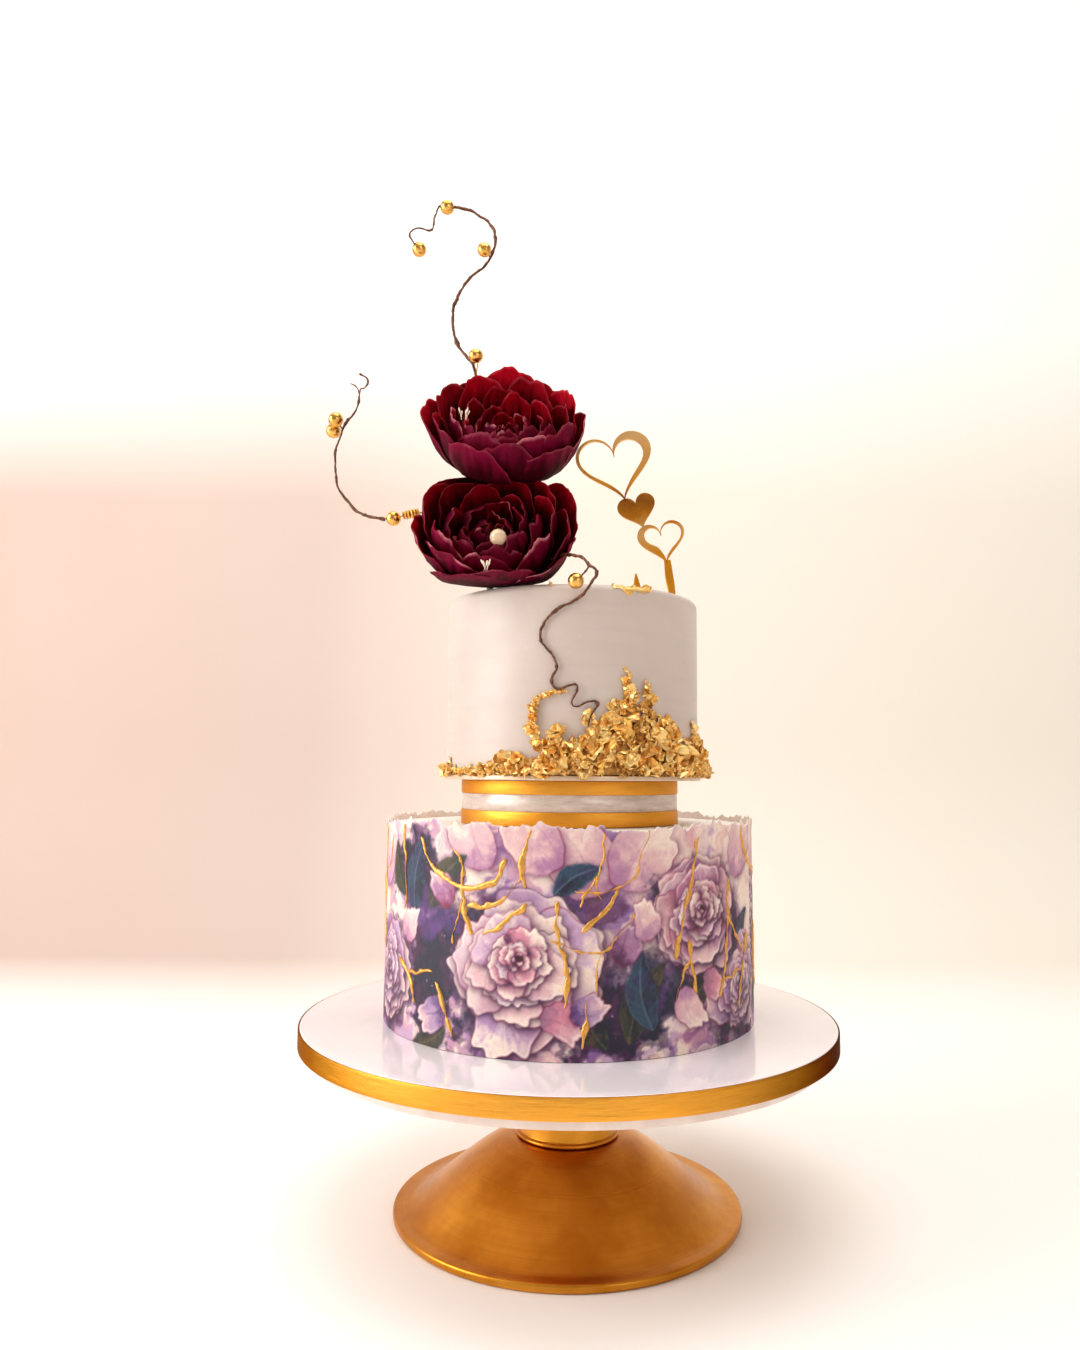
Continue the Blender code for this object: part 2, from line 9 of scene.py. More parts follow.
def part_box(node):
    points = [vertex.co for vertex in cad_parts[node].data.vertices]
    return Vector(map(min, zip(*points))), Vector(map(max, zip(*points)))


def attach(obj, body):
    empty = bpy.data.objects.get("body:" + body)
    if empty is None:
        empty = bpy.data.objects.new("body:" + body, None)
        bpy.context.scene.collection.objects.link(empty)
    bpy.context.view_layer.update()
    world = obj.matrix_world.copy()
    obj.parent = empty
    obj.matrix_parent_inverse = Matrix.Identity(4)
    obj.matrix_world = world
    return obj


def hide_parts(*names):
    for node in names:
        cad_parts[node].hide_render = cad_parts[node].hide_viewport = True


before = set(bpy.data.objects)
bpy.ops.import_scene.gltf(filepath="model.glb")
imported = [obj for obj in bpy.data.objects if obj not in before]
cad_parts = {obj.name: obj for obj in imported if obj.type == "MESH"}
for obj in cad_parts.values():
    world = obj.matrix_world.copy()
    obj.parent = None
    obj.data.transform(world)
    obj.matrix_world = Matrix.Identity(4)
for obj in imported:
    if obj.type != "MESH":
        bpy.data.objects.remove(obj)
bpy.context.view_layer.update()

MM = 0.001
TAU = 2 * math.pi

# ------------------------------------------------------------------ camera
F_PX, CAM_AT = 999.7, Vector((-0.00691, -0.639, 0.2643))
CAM_UP, CAM_ROLL = 0.0958, 0.00703
cam = bpy.data.objects.new("camera", bpy.data.cameras.new("camera"))
cam.data.sensor_fit = "AUTO"
cam.data.sensor_width = 36.0
cam.data.lens = 36.0 * F_PX / 1350.0
cam.data.shift_x = -19.5 / 1350.0
cam.data.clip_start, cam.data.clip_end = 0.01, 50.0
cam.matrix_world = (Matrix.Translation(CAM_AT) @ Matrix.Rotation(math.pi / 2 + CAM_UP, 4, "X")
                    @ Matrix.Rotation(CAM_ROLL, 4, "Z"))
bpy.context.scene.collection.objects.link(cam)
bpy.context.scene.camera = cam


# ----------------------------------------------------------------- helpers
def lin(r, g, b, k=1.0):
    """An 8-bit display colour as linear light."""
    out = []
    for c in (r, g, b):
        c = max(0.0, min(1.0, c / 255.0))
        out.append(k * (c / 12.92 if c <= 0.04045 else ((c + 0.055) / 1.055) ** 2.4))
    return tuple(out)


class Mat:
    """A node material with a short way to add nodes."""

    def __init__(self, name, **sockets):
        self.m = bpy.data.materials.new(name)
        self.m.use_nodes = True
        self.t = self.m.node_tree
        self.b = self.t.nodes["Principled BSDF"]
        for k, v in sockets.items():
            self.set(k, v)

    def set(self, key, v):
        key = key.replace("_", " ")
        s = self.b.inputs[key]
        s.default_value = (*v, 1.0) if isinstance(v, tuple) and len(v) == 3 and s.type == "RGBA" else v

    def n(self, kind, ins=None, **props):
        nd = self.t.nodes.new("ShaderNode" + kind)
        for k, v in props.items():
            setattr(nd, k, v)
        for k, v in (ins or {}).items():
            s = nd.inputs[k]
            if isinstance(v, bpy.types.NodeSocket):
                self.t.links.new(v, s)
            else:
                s.default_value = (*v, 1.0) if isinstance(v, tuple) and len(v) == 3 and s.type == "RGBA" else v
        return nd

    def link(self, a, key):
        self.t.links.new(a, self.b.inputs[key.replace("_", " ")])

    def coords(self):
        return self.n("TexCoord").outputs["Object"]

    def noise(self, vec, scale, detail=4.0, rough=0.55, dist=0.0, stretch=None):
        if stretch:
            vec = self.n("Mapping", {"Vector": vec, "Scale": stretch}).outputs[0]
        return self.n("TexNoise", {"Vector": vec, "Scale": scale, "Detail": detail, "Roughness": rough,
                                   "Distortion": dist}).outputs[0]

    def ramp(self, fac, *stops):
        r = self.n("ValToRGB", {"Fac": fac})
        e = r.color_ramp.elements
        while len(e) < len(stops):
            e.new(0.5)
        for el, (p, c) in zip(e, stops):
            el.position = p
            el.color = (*c, 1.0) if len(c) == 3 else c
        return r.outputs[0]

    def val(self, fac, lo, hi, a=0.3, b=0.7):
        return self.n("MapRange", {"Value": fac, "From Min": a, "From Max": b, "To Min": lo, "To Max": hi}).outputs[0]

    def mix(self, fac, a, b, mode="MIX"):
        nd = self.n("Mix", data_type="RGBA", blend_type=mode)
        for key, v in ((0, fac), (6, a), (7, b)):
            s = nd.inputs[key]
            if isinstance(v, bpy.types.NodeSocket):
                self.t.links.new(v, s)
            else:
                s.default_value = (*v, 1.0) if isinstance(v, tuple) and len(v) == 3 else v
        return nd.outputs[2]

    def bump(self, height, strength, dist=0.001, normal=None):
        ins = {"Height": height, "Strength": strength, "Distance": dist}
        if normal is not None:
            ins["Normal"] = normal
        return self.n("Bump", ins).outputs[0]

    def around(self, radius):
        """(arc length, 0, height) of a point on a turned piece, in metres."""
        x = self.n("SeparateXYZ", {"Vector": self.coords()})
        ang = self.n("Math", {0: x.outputs[1], 1: x.outputs[0]}, operation="ARCTAN2").outputs[0]
        arc = self.n("Math", {0: ang, 1: radius}, operation="MULTIPLY").outputs[0]
        return self.n("CombineXYZ", {"X": arc, "Z": x.outputs[2]}).outputs[0]


def make(name, verts, faces, mats, smooth=True, loc=(0, 0, 0), mat_index=None):
    me = bpy.data.meshes.new(name)
    me.from_pydata([tuple(v) for v in verts], [], [tuple(f) for f in faces])
    for m in (mats if isinstance(mats, (list, tuple)) else [mats]):
        me.materials.append(m.m if isinstance(m, Mat) else m)
    me.polygons.foreach_set("use_smooth", [smooth] * len(me.polygons))
    if mat_index is not None:
        me.polygons.foreach_set("material_index", list(mat_index))
    me.update()
    ob = bpy.data.objects.new(name, me)
    ob.location = loc
    bpy.context.scene.collection.objects.link(ob)
    return ob


def put(ob, slot, *nodes):
    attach(ob, "root")
    if nodes:
        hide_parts(*nodes)
    return ob


def grid_faces(nu, nv, wrap_u=False, off=0, flip=False):
    """Quads of a grid whose points are stored u by u."""
    out = []
    for i in range(nu if wrap_u else nu - 1):
        a, b = off + i * nv, off + ((i + 1) % nu) * nv
        for j in range(nv - 1):
            q = (a + j, b + j, b + j + 1, a + j + 1)
            out.append(q[::-1] if flip else q)
    return out


def lathe(name, prof, steps, mats, loc=(0, 0, 0), wob=0.0, seed=0, pick=None, sharp=35):
    """A turned piece from (radius, height) points in millimetres, from the axis out and back to it."""
    rng = np.random.default_rng(seed)
    ph = rng.random(4) * TAU
    prof = [(r * MM, z * MM) for r, z in prof]
    verts, faces, mi = [], [], []
    ang = np.linspace(0, TAU, steps, endpoint=False)
    closed = prof[0][0] > 1e-7
    ids = []
    for r, z in prof:
        if r < 1e-7:
            ids.append([len(verts)] * steps)
            verts.append((0, 0, z))
            continue
        row = []
        for a in ang:
            k = 1 + wob * MM / r * (math.sin(2 * a + ph[0]) + 0.6 * math.sin(3 * a + ph[1] + z * 30)
                                    + 0.4 * math.sin(5 * a + ph[2] - z * 55))
            row.append(len(verts))
            verts.append((r * k * math.cos(a), r * k * math.sin(a), z))
        ids.append(row)
    pairs = list(zip(ids, ids[1:])) + ([(ids[-1], ids[0])] if closed else [])
    for k, (p, q) in enumerate(pairs):
        for i in range(steps):
            j = (i + 1) % steps
            f = [p[i], p[j], q[j], q[i]]
            f = list(dict.fromkeys(f))
            if len(f) > 2:
                faces.append(f)
                mi.append(pick(k) if pick else 0)
    ob = make(name, verts, faces, mats, loc=loc, mat_index=mi)
    ob.data.set_sharp_from_angle(angle=math.radians(sharp))
    return ob


def arc(cx, cz, r, a0, a1, n):
    """Points of a small rounded edge in a profile, angles in degrees."""
    return [(cx + r * math.cos(math.radians(a0 + (a1 - a0) * i / n)),
             cz + r * math.sin(math.radians(a0 + (a1 - a0) * i / n))) for i in range(n + 1)]


# --------------------------------------------------- sizes, read off the frame
def zr(node):
    lo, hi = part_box(node)
    return lo.z / MM, hi.z / MM, (hi.x - lo.x) / 2 / MM


_, BOARD_TOP, _ = zr("cake_board")
BOARD_Z0, BOARD_R = zr("board_ribbon")[0], zr("board_ribbon")[2]
PLATE_Z0, PLATE_Z1, PLATE_R = zr("stand_plate")
COL_Z0, COL_Z1, _ = zr("stand_collar")
FOOT_Z1, FOOT_R = zr("stand_foot")[1:]
T1_Z0, T1_TOP, _ = zr("lower_tier")
WRAP_Z0, WRAP_Z1, WRAP_R = zr("paper_wrap")
DRUM_Z0, DRUM_Z1, DRUM_R = zr("spacer_drum")
DISC_Z0, DISC_Z1, DISC_R = zr("upper_board")
T2_Z0, T2_TOP, T2_R = zr("upper_tier")
_lo, _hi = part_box("upper_tier")
T2_X, AXIS_Y = (_lo.x + _hi.x) / 2, (_lo.y + _hi.y) / 2
T1_R0, T1_R1 = 114.3, 113.8
AT1 = (0.0, AXIS_Y, 0.0)
AT2 = (T2_X, AXIS_Y, 0.0)

# ------------------------------------------------------------ gold and board
STEP = 240
m_spun = Mat("spun_gold", Metallic=1.0, Roughness=0.3)
v = m_spun.coords()
rings = m_spun.noise(m_spun.n("CombineXYZ", {
    "X": m_spun.n("VectorMath", {0: m_spun.n("Mapping", {"Vector": v, "Scale": (1, 1, 0)}).outputs[0]},
                  operation="LENGTH").outputs["Value"],
    "Z": m_spun.n("SeparateXYZ", {"Vector": v}).outputs[2]}).outputs[0], 900.0, 5.0, 0.7)
cloud = m_spun.noise(v, 22.0, 4.0, 0.6)
m_spun.link(m_spun.mix(m_spun.val(cloud, 0.0, 1.0, 0.35, 0.65),
                       m_spun.mix(m_spun.val(rings, 0, 1), (0.60, 0.24, 0.022), (0.76, 0.35, 0.045)),
                       (0.48, 0.17, 0.012)), "Base_Color")
m_spun.link(m_spun.val(rings, 0.24, 0.40), "Roughness")
m_spun.link(m_spun.bump(rings, 0.12, 0.0003), "Normal")


def bell(k):
    r = 31.5 + (FOOT_R - 9 - 31.5) * (1 - k) ** 1.15
    return r, 4.6 + (FOOT_Z1 - 4.6) * math.sin(k * math.pi / 2) ** 1.25


foot = [(0, 0), (FOOT_R - 0.8, 0)] + arc(FOOT_R - 1.4, 1.4, 1.4, -60, 0, 4) + arc(FOOT_R - 1.4, 3.2, 1.4, 0, 90, 6)
foot += [(FOOT_R - 5.5, 4.55)] + [bell(i / 26.0) for i in range(27)] + [(29.9, FOOT_Z1 + 0.1), (0, FOOT_Z1 + 0.1)]
put(lathe("pedestal_foot", foot, STEP, m_spun, sharp=40), "spun_gold", "stand_foot")
cr = 29.5
collar = ([(0, COL_Z0), (cr + 1.2, COL_Z0)] + arc(cr + 0.9, COL_Z0 + 1.4, 1.3, -90, 90, 10)
          + arc(cr + 0.9, COL_Z0 + 3.4, 0.9, -90, -180, 4)[1:] + [(cr, COL_Z0 + 8), (cr, COL_Z1 - 1.2)]
          + arc(cr + 0.9, COL_Z1 - 1.2, 0.9, 180, 90, 4) + [(0, COL_Z1)])
put(lathe("pedestal_collar", collar, STEP, m_spun, sharp=50), "spun_gold", "stand_collar")

m_plate = Mat("plate_board", Roughness=0.3, Coat_Weight=0.25, Coat_Roughness=0.15)
v = m_plate.coords()
m_plate.link(m_plate.ramp(m_plate.noise(v, 60.0, 5.0, 0.6), (0.35, lin(226, 205, 194)), (0.65, lin(240, 224, 214))),
             "Base_Color")
m_plate.link(m_plate.bump(m_plate.noise(v, 900.0, 2.0), 0.15, 0.0002), "Normal")
plate = ([(0, PLATE_Z0), (PLATE_R - 1.0, PLATE_Z0)] + arc(PLATE_R - 1.2, PLATE_Z0 + 1.2, 1.2, -90, 0, 5)
         + arc(PLATE_R - 1.2, PLATE_Z1 - 1.2, 1.2, 0, 90, 5) + [(0, PLATE_Z1)])
put(lathe("pedestal_plate", plate, STEP, m_plate), "gloss_white", "stand_plate")

m_board = Mat("board_white", Roughness=0.16, Coat_Weight=0.6, Coat_Roughness=0.05)
v = m_board.coords()
soft = m_board.noise(v, 9.0, 3.0, 0.5)
m_board.link(m_board.ramp(soft, (0.35, lin(244, 238, 240)), (0.65, lin(236, 229, 234))), "Base_Color")
m_board.link(m_board.val(m_board.noise(v, 240.0, 4.0, 0.65), 0.10, 0.24), "Roughness")
fine = m_board.noise(v, 320.0, 3.0, 0.5)
m_board.link(m_board.bump(fine, 0.06, 0.0004), "Normal")
br = BOARD_R - 0.8
board = ([(0, BOARD_Z0), (br, BOARD_Z0)] + arc(br - 0.6, BOARD_TOP - 0.6, 0.6, 0, 90, 5) + [(br - 8, BOARD_TOP)]
         + [(0, BOARD_TOP)])
put(lathe("board_top", board, STEP, m_board), "gloss_white", "cake_board")


def ribbon_mat(name, radius, warm=1.0, depth=0.95):
    """Metallic satin ribbon: long level threads and soft puckers, with painted shade that darkens it towards the left
    and right sides of the cake, most of all on the right.
    """
    m = Mat(name, Metallic=0.98, Roughness=0.30, Anisotropic=0.5, Specular_Tint=(1.0 - 0.72 * depth, 1.0 - 0.86 * depth, 1.0 - 0.95 * depth))
    p = m.around(radius)
    threads = m.noise(p, 1.0, 6.0, 0.75, stretch=(60.0, 1.0, 3600.0))
    drift = m.noise(p, 1.0, 3.0, 0.55, stretch=(22.0, 1.0, 120.0))
    sheen = m.noise(p, 1.0, 2.0, 0.5, stretch=(9.0, 1.0, 14.0))
    base = m.mix(m.val(threads, 0, 1, 0.32, 0.68), (0.60 * warm, 0.22, 0.012), (1.0, 0.52, 0.09))
    base = m.mix(m.val(drift, 0.0, 0.75, 0.4, 0.7), base, (0.95, 0.41, 0.045))
    base = m.mix(m.val(sheen, 0.0, 0.5, 0.45, 0.7), base, (0.72, 0.27, 0.015))
    # painted shade: the ribbon's colour is darkened by its x position, standing in for dark reflections at the cake's
    # sides; depth sets how much
    px = m.n("SeparateXYZ", {"Vector": m.n("VectorMath", {0: m.coords()}, operation="NORMALIZE").outputs[0]}).outputs
    turn = m.n("Math", {0: px[0], 1: px[0]}, operation="MULTIPLY").outputs[0]
    shade = m.n("Math", {0: m.val(px[0], 0.0, 0.94, 0.25, 0.78), 1: depth}, operation="MULTIPLY").outputs[0]
    patch = m.noise(p, 1.0, 4.0, 0.6, stretch=(16.0, 1.0, 90.0))
    # painted shade towards both sides of the cake, broken by the threads and by soft patches
    painted_side_shade = m.n("Math", {0: m.val(turn, 0.0, 1.0, 0.15, 0.72), 1: m.val(threads, 1.0, 0.80, 0.35, 0.65)}, operation="MULTIPLY").outputs[0]
    painted_side_shade = m.n("Math", {0: painted_side_shade, 1: m.val(patch, 0.80, 1.0)}, operation="MULTIPLY").outputs[0]
    base = m.mix(m.n("Math", {0: painted_side_shade, 1: depth}, operation="MULTIPLY").outputs[0], base, (0.07, 0.018, 0.001))
    # painted shade, much darker towards the right side, broken by the threads
    painted_right_shade = m.n("Math", {0: shade, 1: m.val(threads, 1.0, 0.86, 0.38, 0.62)}, operation="MULTIPLY").outputs[0]
    m.link(m.mix(painted_right_shade, base, (0.030, 0.008, 0.0006)), "Base_Color")
    m.link(m.val(threads, 0.26, 0.46), "Roughness")
    h = m.n("Math", {0: threads, 1: m.val(drift, 0.0, 1.6, 0.3, 0.7)}, operation="ADD").outputs[0]
    m.link(m.bump(h, 0.35, 0.0004), "Normal")
    return m


m_rib = ribbon_mat("gold_ribbon", BOARD_R * MM)
rt = BOARD_TOP - 0.25
prof = ([(BOARD_R - 0.75, BOARD_Z0 + 0.05), (BOARD_R - 0.35, BOARD_Z0 + 0.0)] + arc(BOARD_R - 0.25, BOARD_Z0 + 0.25, 0.25, -90, 0, 2)
        + [(BOARD_R + 0.05, BOARD_Z0 + 2.2), (BOARD_R - 0.02, BOARD_Z0 + 5.5), (BOARD_R + 0.05, rt - 2.0)]
        + arc(BOARD_R - 0.25, rt - 0.25, 0.25, 0, 90, 2) + [(BOARD_R - 0.75, rt)])
put(lathe("board_ribbon_satin", prof, STEP, m_rib, wob=0.05, seed=3), "gold_ribbon", "board_ribbon")

# ------------------------------------------------------------- icing pieces
m_white = Mat("white_icing", Roughness=0.55, Subsurface_Weight=0.12, Subsurface_Scale=0.004)
v = m_white.coords()
m_white.link(m_white.ramp(m_white.noise(v, 45.0, 5.0, 0.6), (0.3, lin(250, 246, 240)), (0.7, lin(243, 237, 231))), "Base_Color")
m_white.link(m_white.bump(m_white.noise(v, 140.0, 5.0, 0.6), 0.35, 0.0008), "Normal")
ir = T1_R1 - 1.25
tier1 = ([(0, T1_Z0), (T1_R0 - 1.2, T1_Z0), (ir, T1_TOP - 3)] + arc(ir - 2.4, T1_TOP - 2.4, 2.4, 0, 90, 6)
         + [(ir - 12, T1_TOP + 0.02), (ir - 30, T1_TOP - 0.05), (0, T1_TOP)])
put(lathe("lower_icing", tier1, STEP, m_white, AT1, wob=0.12, seed=5), "white_icing", "lower_tier")

m_mauve = Mat("mauve_icing", Roughness=0.42, Subsurface_Weight=0.10, Subsurface_Scale=0.004, Sheen_Weight=0.08)
v = m_mauve.coords()
p = m_mauve.around(T2_R * MM)
base = m_mauve.ramp(m_mauve.noise(v, 16.0, 5.0, 0.6), (0.32, lin(204, 188, 179)), (0.68, lin(213, 198, 190)))
marks = m_mauve.noise(p, 1.0, 4.0, 0.6, stretch=(14.0, 1.0, 170.0))
base = m_mauve.mix(m_mauve.val(marks, 0.0, 0.22, 0.5, 0.72), base, lin(196, 176, 168))
flecks = m_mauve.noise(v, 330.0, 2.0, 0.5)
m_mauve.link(m_mauve.mix(m_mauve.val(flecks, 0.0, 0.35, 0.68, 0.78), base, lin(222, 210, 206)), "Base_Color")
m_mauve.link(m_mauve.val(marks, 0.34, 0.52), "Roughness")
nb = m_mauve.bump(marks, 0.10, 0.0006)
m_mauve.link(m_mauve.bump(m_mauve.noise(v, 260.0, 4.0, 0.6), 0.10, 0.0003, nb), "Normal")
tier2 = ([(0, T2_Z0), (T2_R - 1.0, T2_Z0)] + arc(T2_R - 1.0, T2_Z0 + 1.0, 1.0, -90, 0, 4)
         + [(T2_R - 0.05, T2_Z0 + h) for h in (14, 30, 48, 66, 84, 98)] + arc(T2_R - 4.2, T2_TOP - 4.2, 4.2, 0, 90, 10)
         + [(T2_R - 12, T2_TOP + 0.02), (T2_R - 35, T2_TOP - 0.05), (0, T2_TOP - 0.05)])
put(lathe("upper_icing", tier2, STEP, m_mauve, AT2, wob=0.10, seed=8), "mauve_icing", "upper_tier")

# ----------------------------------------------------- spacer and thin disc
m_satin = Mat("pale_satin", Roughness=0.3, Metallic=0.25, Sheen_Weight=0.2)
p = m_satin.around(DRUM_R * MM)
marble = m_satin.noise(p, 1.0, 6.0, 0.62, 0.6, stretch=(70.0, 1.0, 260.0))
thr = m_satin.noise(p, 1.0, 4.0, 0.7, stretch=(90.0, 1.0, 4200.0))
c = m_satin.ramp(marble, (0.32, lin(196, 178, 168)), (0.5, lin(222, 207, 198)), (0.68, lin(240, 230, 222)))
m_satin.link(m_satin.mix(m_satin.val(thr, 0.0, 0.3), c, lin(205, 190, 182)), "Base_Color")
m_satin.link(m_satin.bump(thr, 0.25, 0.0003), "Normal")
drum = [(0, DRUM_Z0), (DRUM_R, DRUM_Z0), (DRUM_R, DRUM_Z0 + 9), (DRUM_R + 0.35, DRUM_Z0 + 9.4),
        (DRUM_R + 0.4, (DRUM_Z0 + DRUM_Z1) / 2), (DRUM_R + 0.35, DRUM_Z1 - 8.6), (DRUM_R, DRUM_Z1 - 8.2), (DRUM_R, DRUM_Z1), (0, DRUM_Z1)]
put(lathe("spacer_satin", drum, STEP, m_satin, AT1, sharp=60), "pale_satin", "spacer_drum")
m_band = ribbon_mat("gold_band", DRUM_R * MM, depth=0.35)
for nm in ("low", "high"):
    z0, z1, r = zr("spacer_band_" + nm)
    prof = ([(r - 0.7, z0), (r - 0.25, z0)] + arc(r - 0.25, z0 + 0.3, 0.3, -90, 0, 3) + [(r + 0.1, (z0 + z1) / 2)]
            + arc(r - 0.25, z1 - 0.3, 0.3, 0, 90, 3) + [(r - 0.7, z1)])
    put(lathe("spacer_ribbon_" + nm, prof, STEP, m_band, AT1, wob=0.06, seed=11), "gold_ribbon", "spacer_band_" + nm)
m_disc = Mat("disc_card", Roughness=0.35, Metallic=0.3)
v = m_disc.coords()
m_disc.link(m_disc.ramp(m_disc.noise(v, 70.0, 5.0, 0.6), (0.3, lin(214, 186, 156)), (0.7, lin(236, 214, 190))), "Base_Color")
disc = ([(0, DISC_Z0), (DISC_R - 0.6, DISC_Z0)] + arc(DISC_R - 0.6, DISC_Z0 + 0.6, 0.6, -90, 0, 3)
        + arc(DISC_R - 0.6, DISC_Z1 - 0.6, 0.6, 0, 90, 3) + [(0, DISC_Z1)])
put(lathe("thin_disc", disc, STEP, m_disc, AT2), "pale_satin", "upper_board")

# -------------------------------------------------- the print, as painted fields
TABS = [np.random.default_rng(700 + i).random((256, 256)) for i in range(8)]


def vnoise(x, y, seed):
    tab = TABS[seed % 8]
    xi, yi = np.floor(x).astype(int), np.floor(y).astype(int)
    fx, fy = x - xi, y - yi
    fx, fy = fx * fx * fx * (fx * (fx * 6 - 15) + 10), fy * fy * fy * (fy * (fy * 6 - 15) + 10)
    xi, yi = xi + 37 * seed, yi + 91 * seed
    a, b = tab[yi & 255, xi & 255], tab[yi & 255, (xi + 1) & 255]
    c, d = tab[(yi + 1) & 255, xi & 255], tab[(yi + 1) & 255, (xi + 1) & 255]
    return (a + (b - a) * fx) * (1 - fy) + (c + (d - c) * fx) * fy


def fbm(x, y, seed, octaves=4, gain=0.5):
    s, amp, tot = 0.0, 1.0, 0.0
    for k in range(octaves):
        s = s + amp * vnoise(x * 2 ** k + 5.3 * k, y * 2 ** k - 3.1 * k, seed + k)
        tot += amp
        amp *= gain
    return np.clip((s / tot - 0.5) * 1.7 + 0.5, 0, 1)


def sst(a, b, x):
    t = np.clip((x - a) / (b - a), 0, 1)
    return t * t * (3 - 2 * t)


def rgb(*c):
    return np.array(c, float)


CREAM, BLUSH, LILAC, MAUVE = rgb(240, 223, 210), rgb(224, 188, 190), rgb(196, 166, 198), rgb(176, 130, 164)
VIOLET, PLUM, INDIGO, WINE = rgb(112, 74, 146), rgb(86, 44, 84), rgb(36, 26, 60), rgb(132, 26, 74)
TEAL, MOSS, NAVY, ROSE = rgb(66, 98, 124), rgb(66, 72, 54), rgb(32, 40, 62), rgb(208, 140, 158)


class Print:
    """A painted sheet: fields of colour and petal shapes laid down one over another, in millimetres."""

    def __init__(self, w, h, seed, px=0.34):
        self.px, self.w, self.h, self.seed = px, w, h, seed
        self.X, self.Y = np.meshgrid((np.arange(int(w / px)) + 0.5) * px, (np.arange(int(h / px)) + 0.5) * px)
        self.C = np.zeros(self.X.shape + (3,))
        self.rng = np.random.default_rng(seed)

    def win(self, x0, x1, y0, y1):
        ny, nx = self.X.shape
        a, b = max(0, int(y0 / self.px)), min(ny, int(y1 / self.px) + 1)
        c, d = max(0, int(x0 / self.px)), min(nx, int(x1 / self.px) + 1)
        return (slice(a, b), slice(c, d)) if b > a and d > c else None

    def lay(self, w, alpha, col):
        self.C[w] += (col - self.C[w]) * alpha[..., None]

    def wash(self):
        X, Y, s = self.X, self.Y, self.seed
        wx, wy = X + 14 * (fbm(X / 20, Y / 20, s, 3) - 0.5), Y + 14 * (fbm(X / 20 + 9, Y / 20, s + 1, 3) - 0.5)
        self.C[:] = CREAM
        full = (slice(None), slice(None))
        for sc, lo, hi, col, k in ((26, 0.40, 0.66, BLUSH, 0.75), (20, 0.46, 0.72, LILAC, 0.9), (15, 0.54, 0.78, MAUVE, 0.65),
                                   (24, 0.60, 0.85, VIOLET, 0.6), (11, 0.62, 0.8, ROSE, 0.35), (9, 0.60, 0.8, CREAM, 0.7)):
            s += 1
            f = fbm(wx / sc, wy / (sc * 0.8), s, 5, 0.55)
            self.lay(full, sst(lo, hi, f) * k, col)
            tide = np.exp(-((f - (lo + hi) / 2) / 0.008) ** 2) * 0.16
            self.lay(full, tide, col * 0.75)

    def patch(self, cx, cy, rx, ry, cols, k=1.0, warp=0.9):
        w = self.win(cx - rx * 1.9, cx + rx * 1.9, cy - ry * 1.9, cy + ry * 1.9)
        if not w:
            return
        X, Y, s = self.X[w], self.Y[w], int(cx * 3 + cy) % 50
        d = np.hypot((X - cx) / rx, (Y - cy) / ry) + warp * (fbm(X / 13, Y / 13, s, 5, 0.6) - 0.5)
        f = fbm(X / 9, Y / 9, s + 3, 5, 0.6)
        col = cols[0] + (cols[1] - cols[0]) * sst(0.35, 0.7, f)[..., None]
        a = sst(1.12, 0.78, d)
        self.lay(w, a * k, col)
        self.lay(w, np.exp(-((d - 1.02) / 0.05) ** 2) * 0.35 * k, cols[0])
        spat = vnoise(X / 0.9, Y / 0.9, s + 5) * vnoise(X / 2.3, Y / 2.3, s + 6)
        self.lay(w, sst(0.74, 0.84, spat) * a * 0.75, LILAC)

    def leaf(self, x, y, deg, L, W, cols, k=0.95):
        w = self.win(x - L * 1.05, x + L * 1.05, y - L * 1.05, y + L * 1.05)
        if not w:
            return
        X, Y = self.X[w] - x, self.Y[w] - y
        c, s_ = math.cos(math.radians(deg)), math.sin(math.radians(deg))
        lx, ly = X * c + Y * s_, -X * s_ + Y * c
        ly = ly - 0.10 * L * np.sin(np.clip(lx / L, 0, 1) * math.pi)
        s, seed = lx / L, int(x + y) % 40
        jag = 1 + 0.10 * (vnoise(s * 11 + x, np.sign(ly) * 3 + y, seed) - 0.5) * 2
        half = W * np.sin(math.pi * np.clip(s, 0, 1) ** 0.82) ** 0.85 * jag
        inside = (s > 0) & (s < 1)
        d = np.where(inside, half - np.abs(ly), -9.0)
        a = sst(-0.3, 0.4, d)
        t = np.clip(ly / np.maximum(half, 0.4), -1, 1)
        f = fbm(self.X[w] / 6, self.Y[w] / 6, seed + 2, 4, 0.6)
        col = cols[0] + (cols[1] - cols[0]) * sst(0.25, 0.75, f * 0.7 + 0.3 * (t > 0) + 0.12)[..., None]
        self.lay(w, np.where(inside, np.exp(-np.maximum(0, -d) / 1.2), 0) * 0.35, INDIGO)
        blot = sst(0.52, 0.70, fbm(self.X[w] / 8 + 5, self.Y[w] / 8, seed + 6, 4, 0.6))[..., None]
        col = col + (cols[3] - col) * blot * 0.6
        self.lay(w, a * k, col)
        veins = np.abs(((s * 9 - np.abs(t) * 1.7) % 1.0) - 0.5)
        self.lay(w, a * sst(0.09, 0.03, veins) * 0.16, cols[2])
        self.lay(w, a * np.exp(-(ly / 0.45) ** 2) * sst(1.0, 0.7, s) * 0.55, cols[2])
        self.lay(w, a * np.exp(-((d - 0.5) / 0.4) ** 2) * 0.30 * sst(0.3, 0.6, f), cols[2])

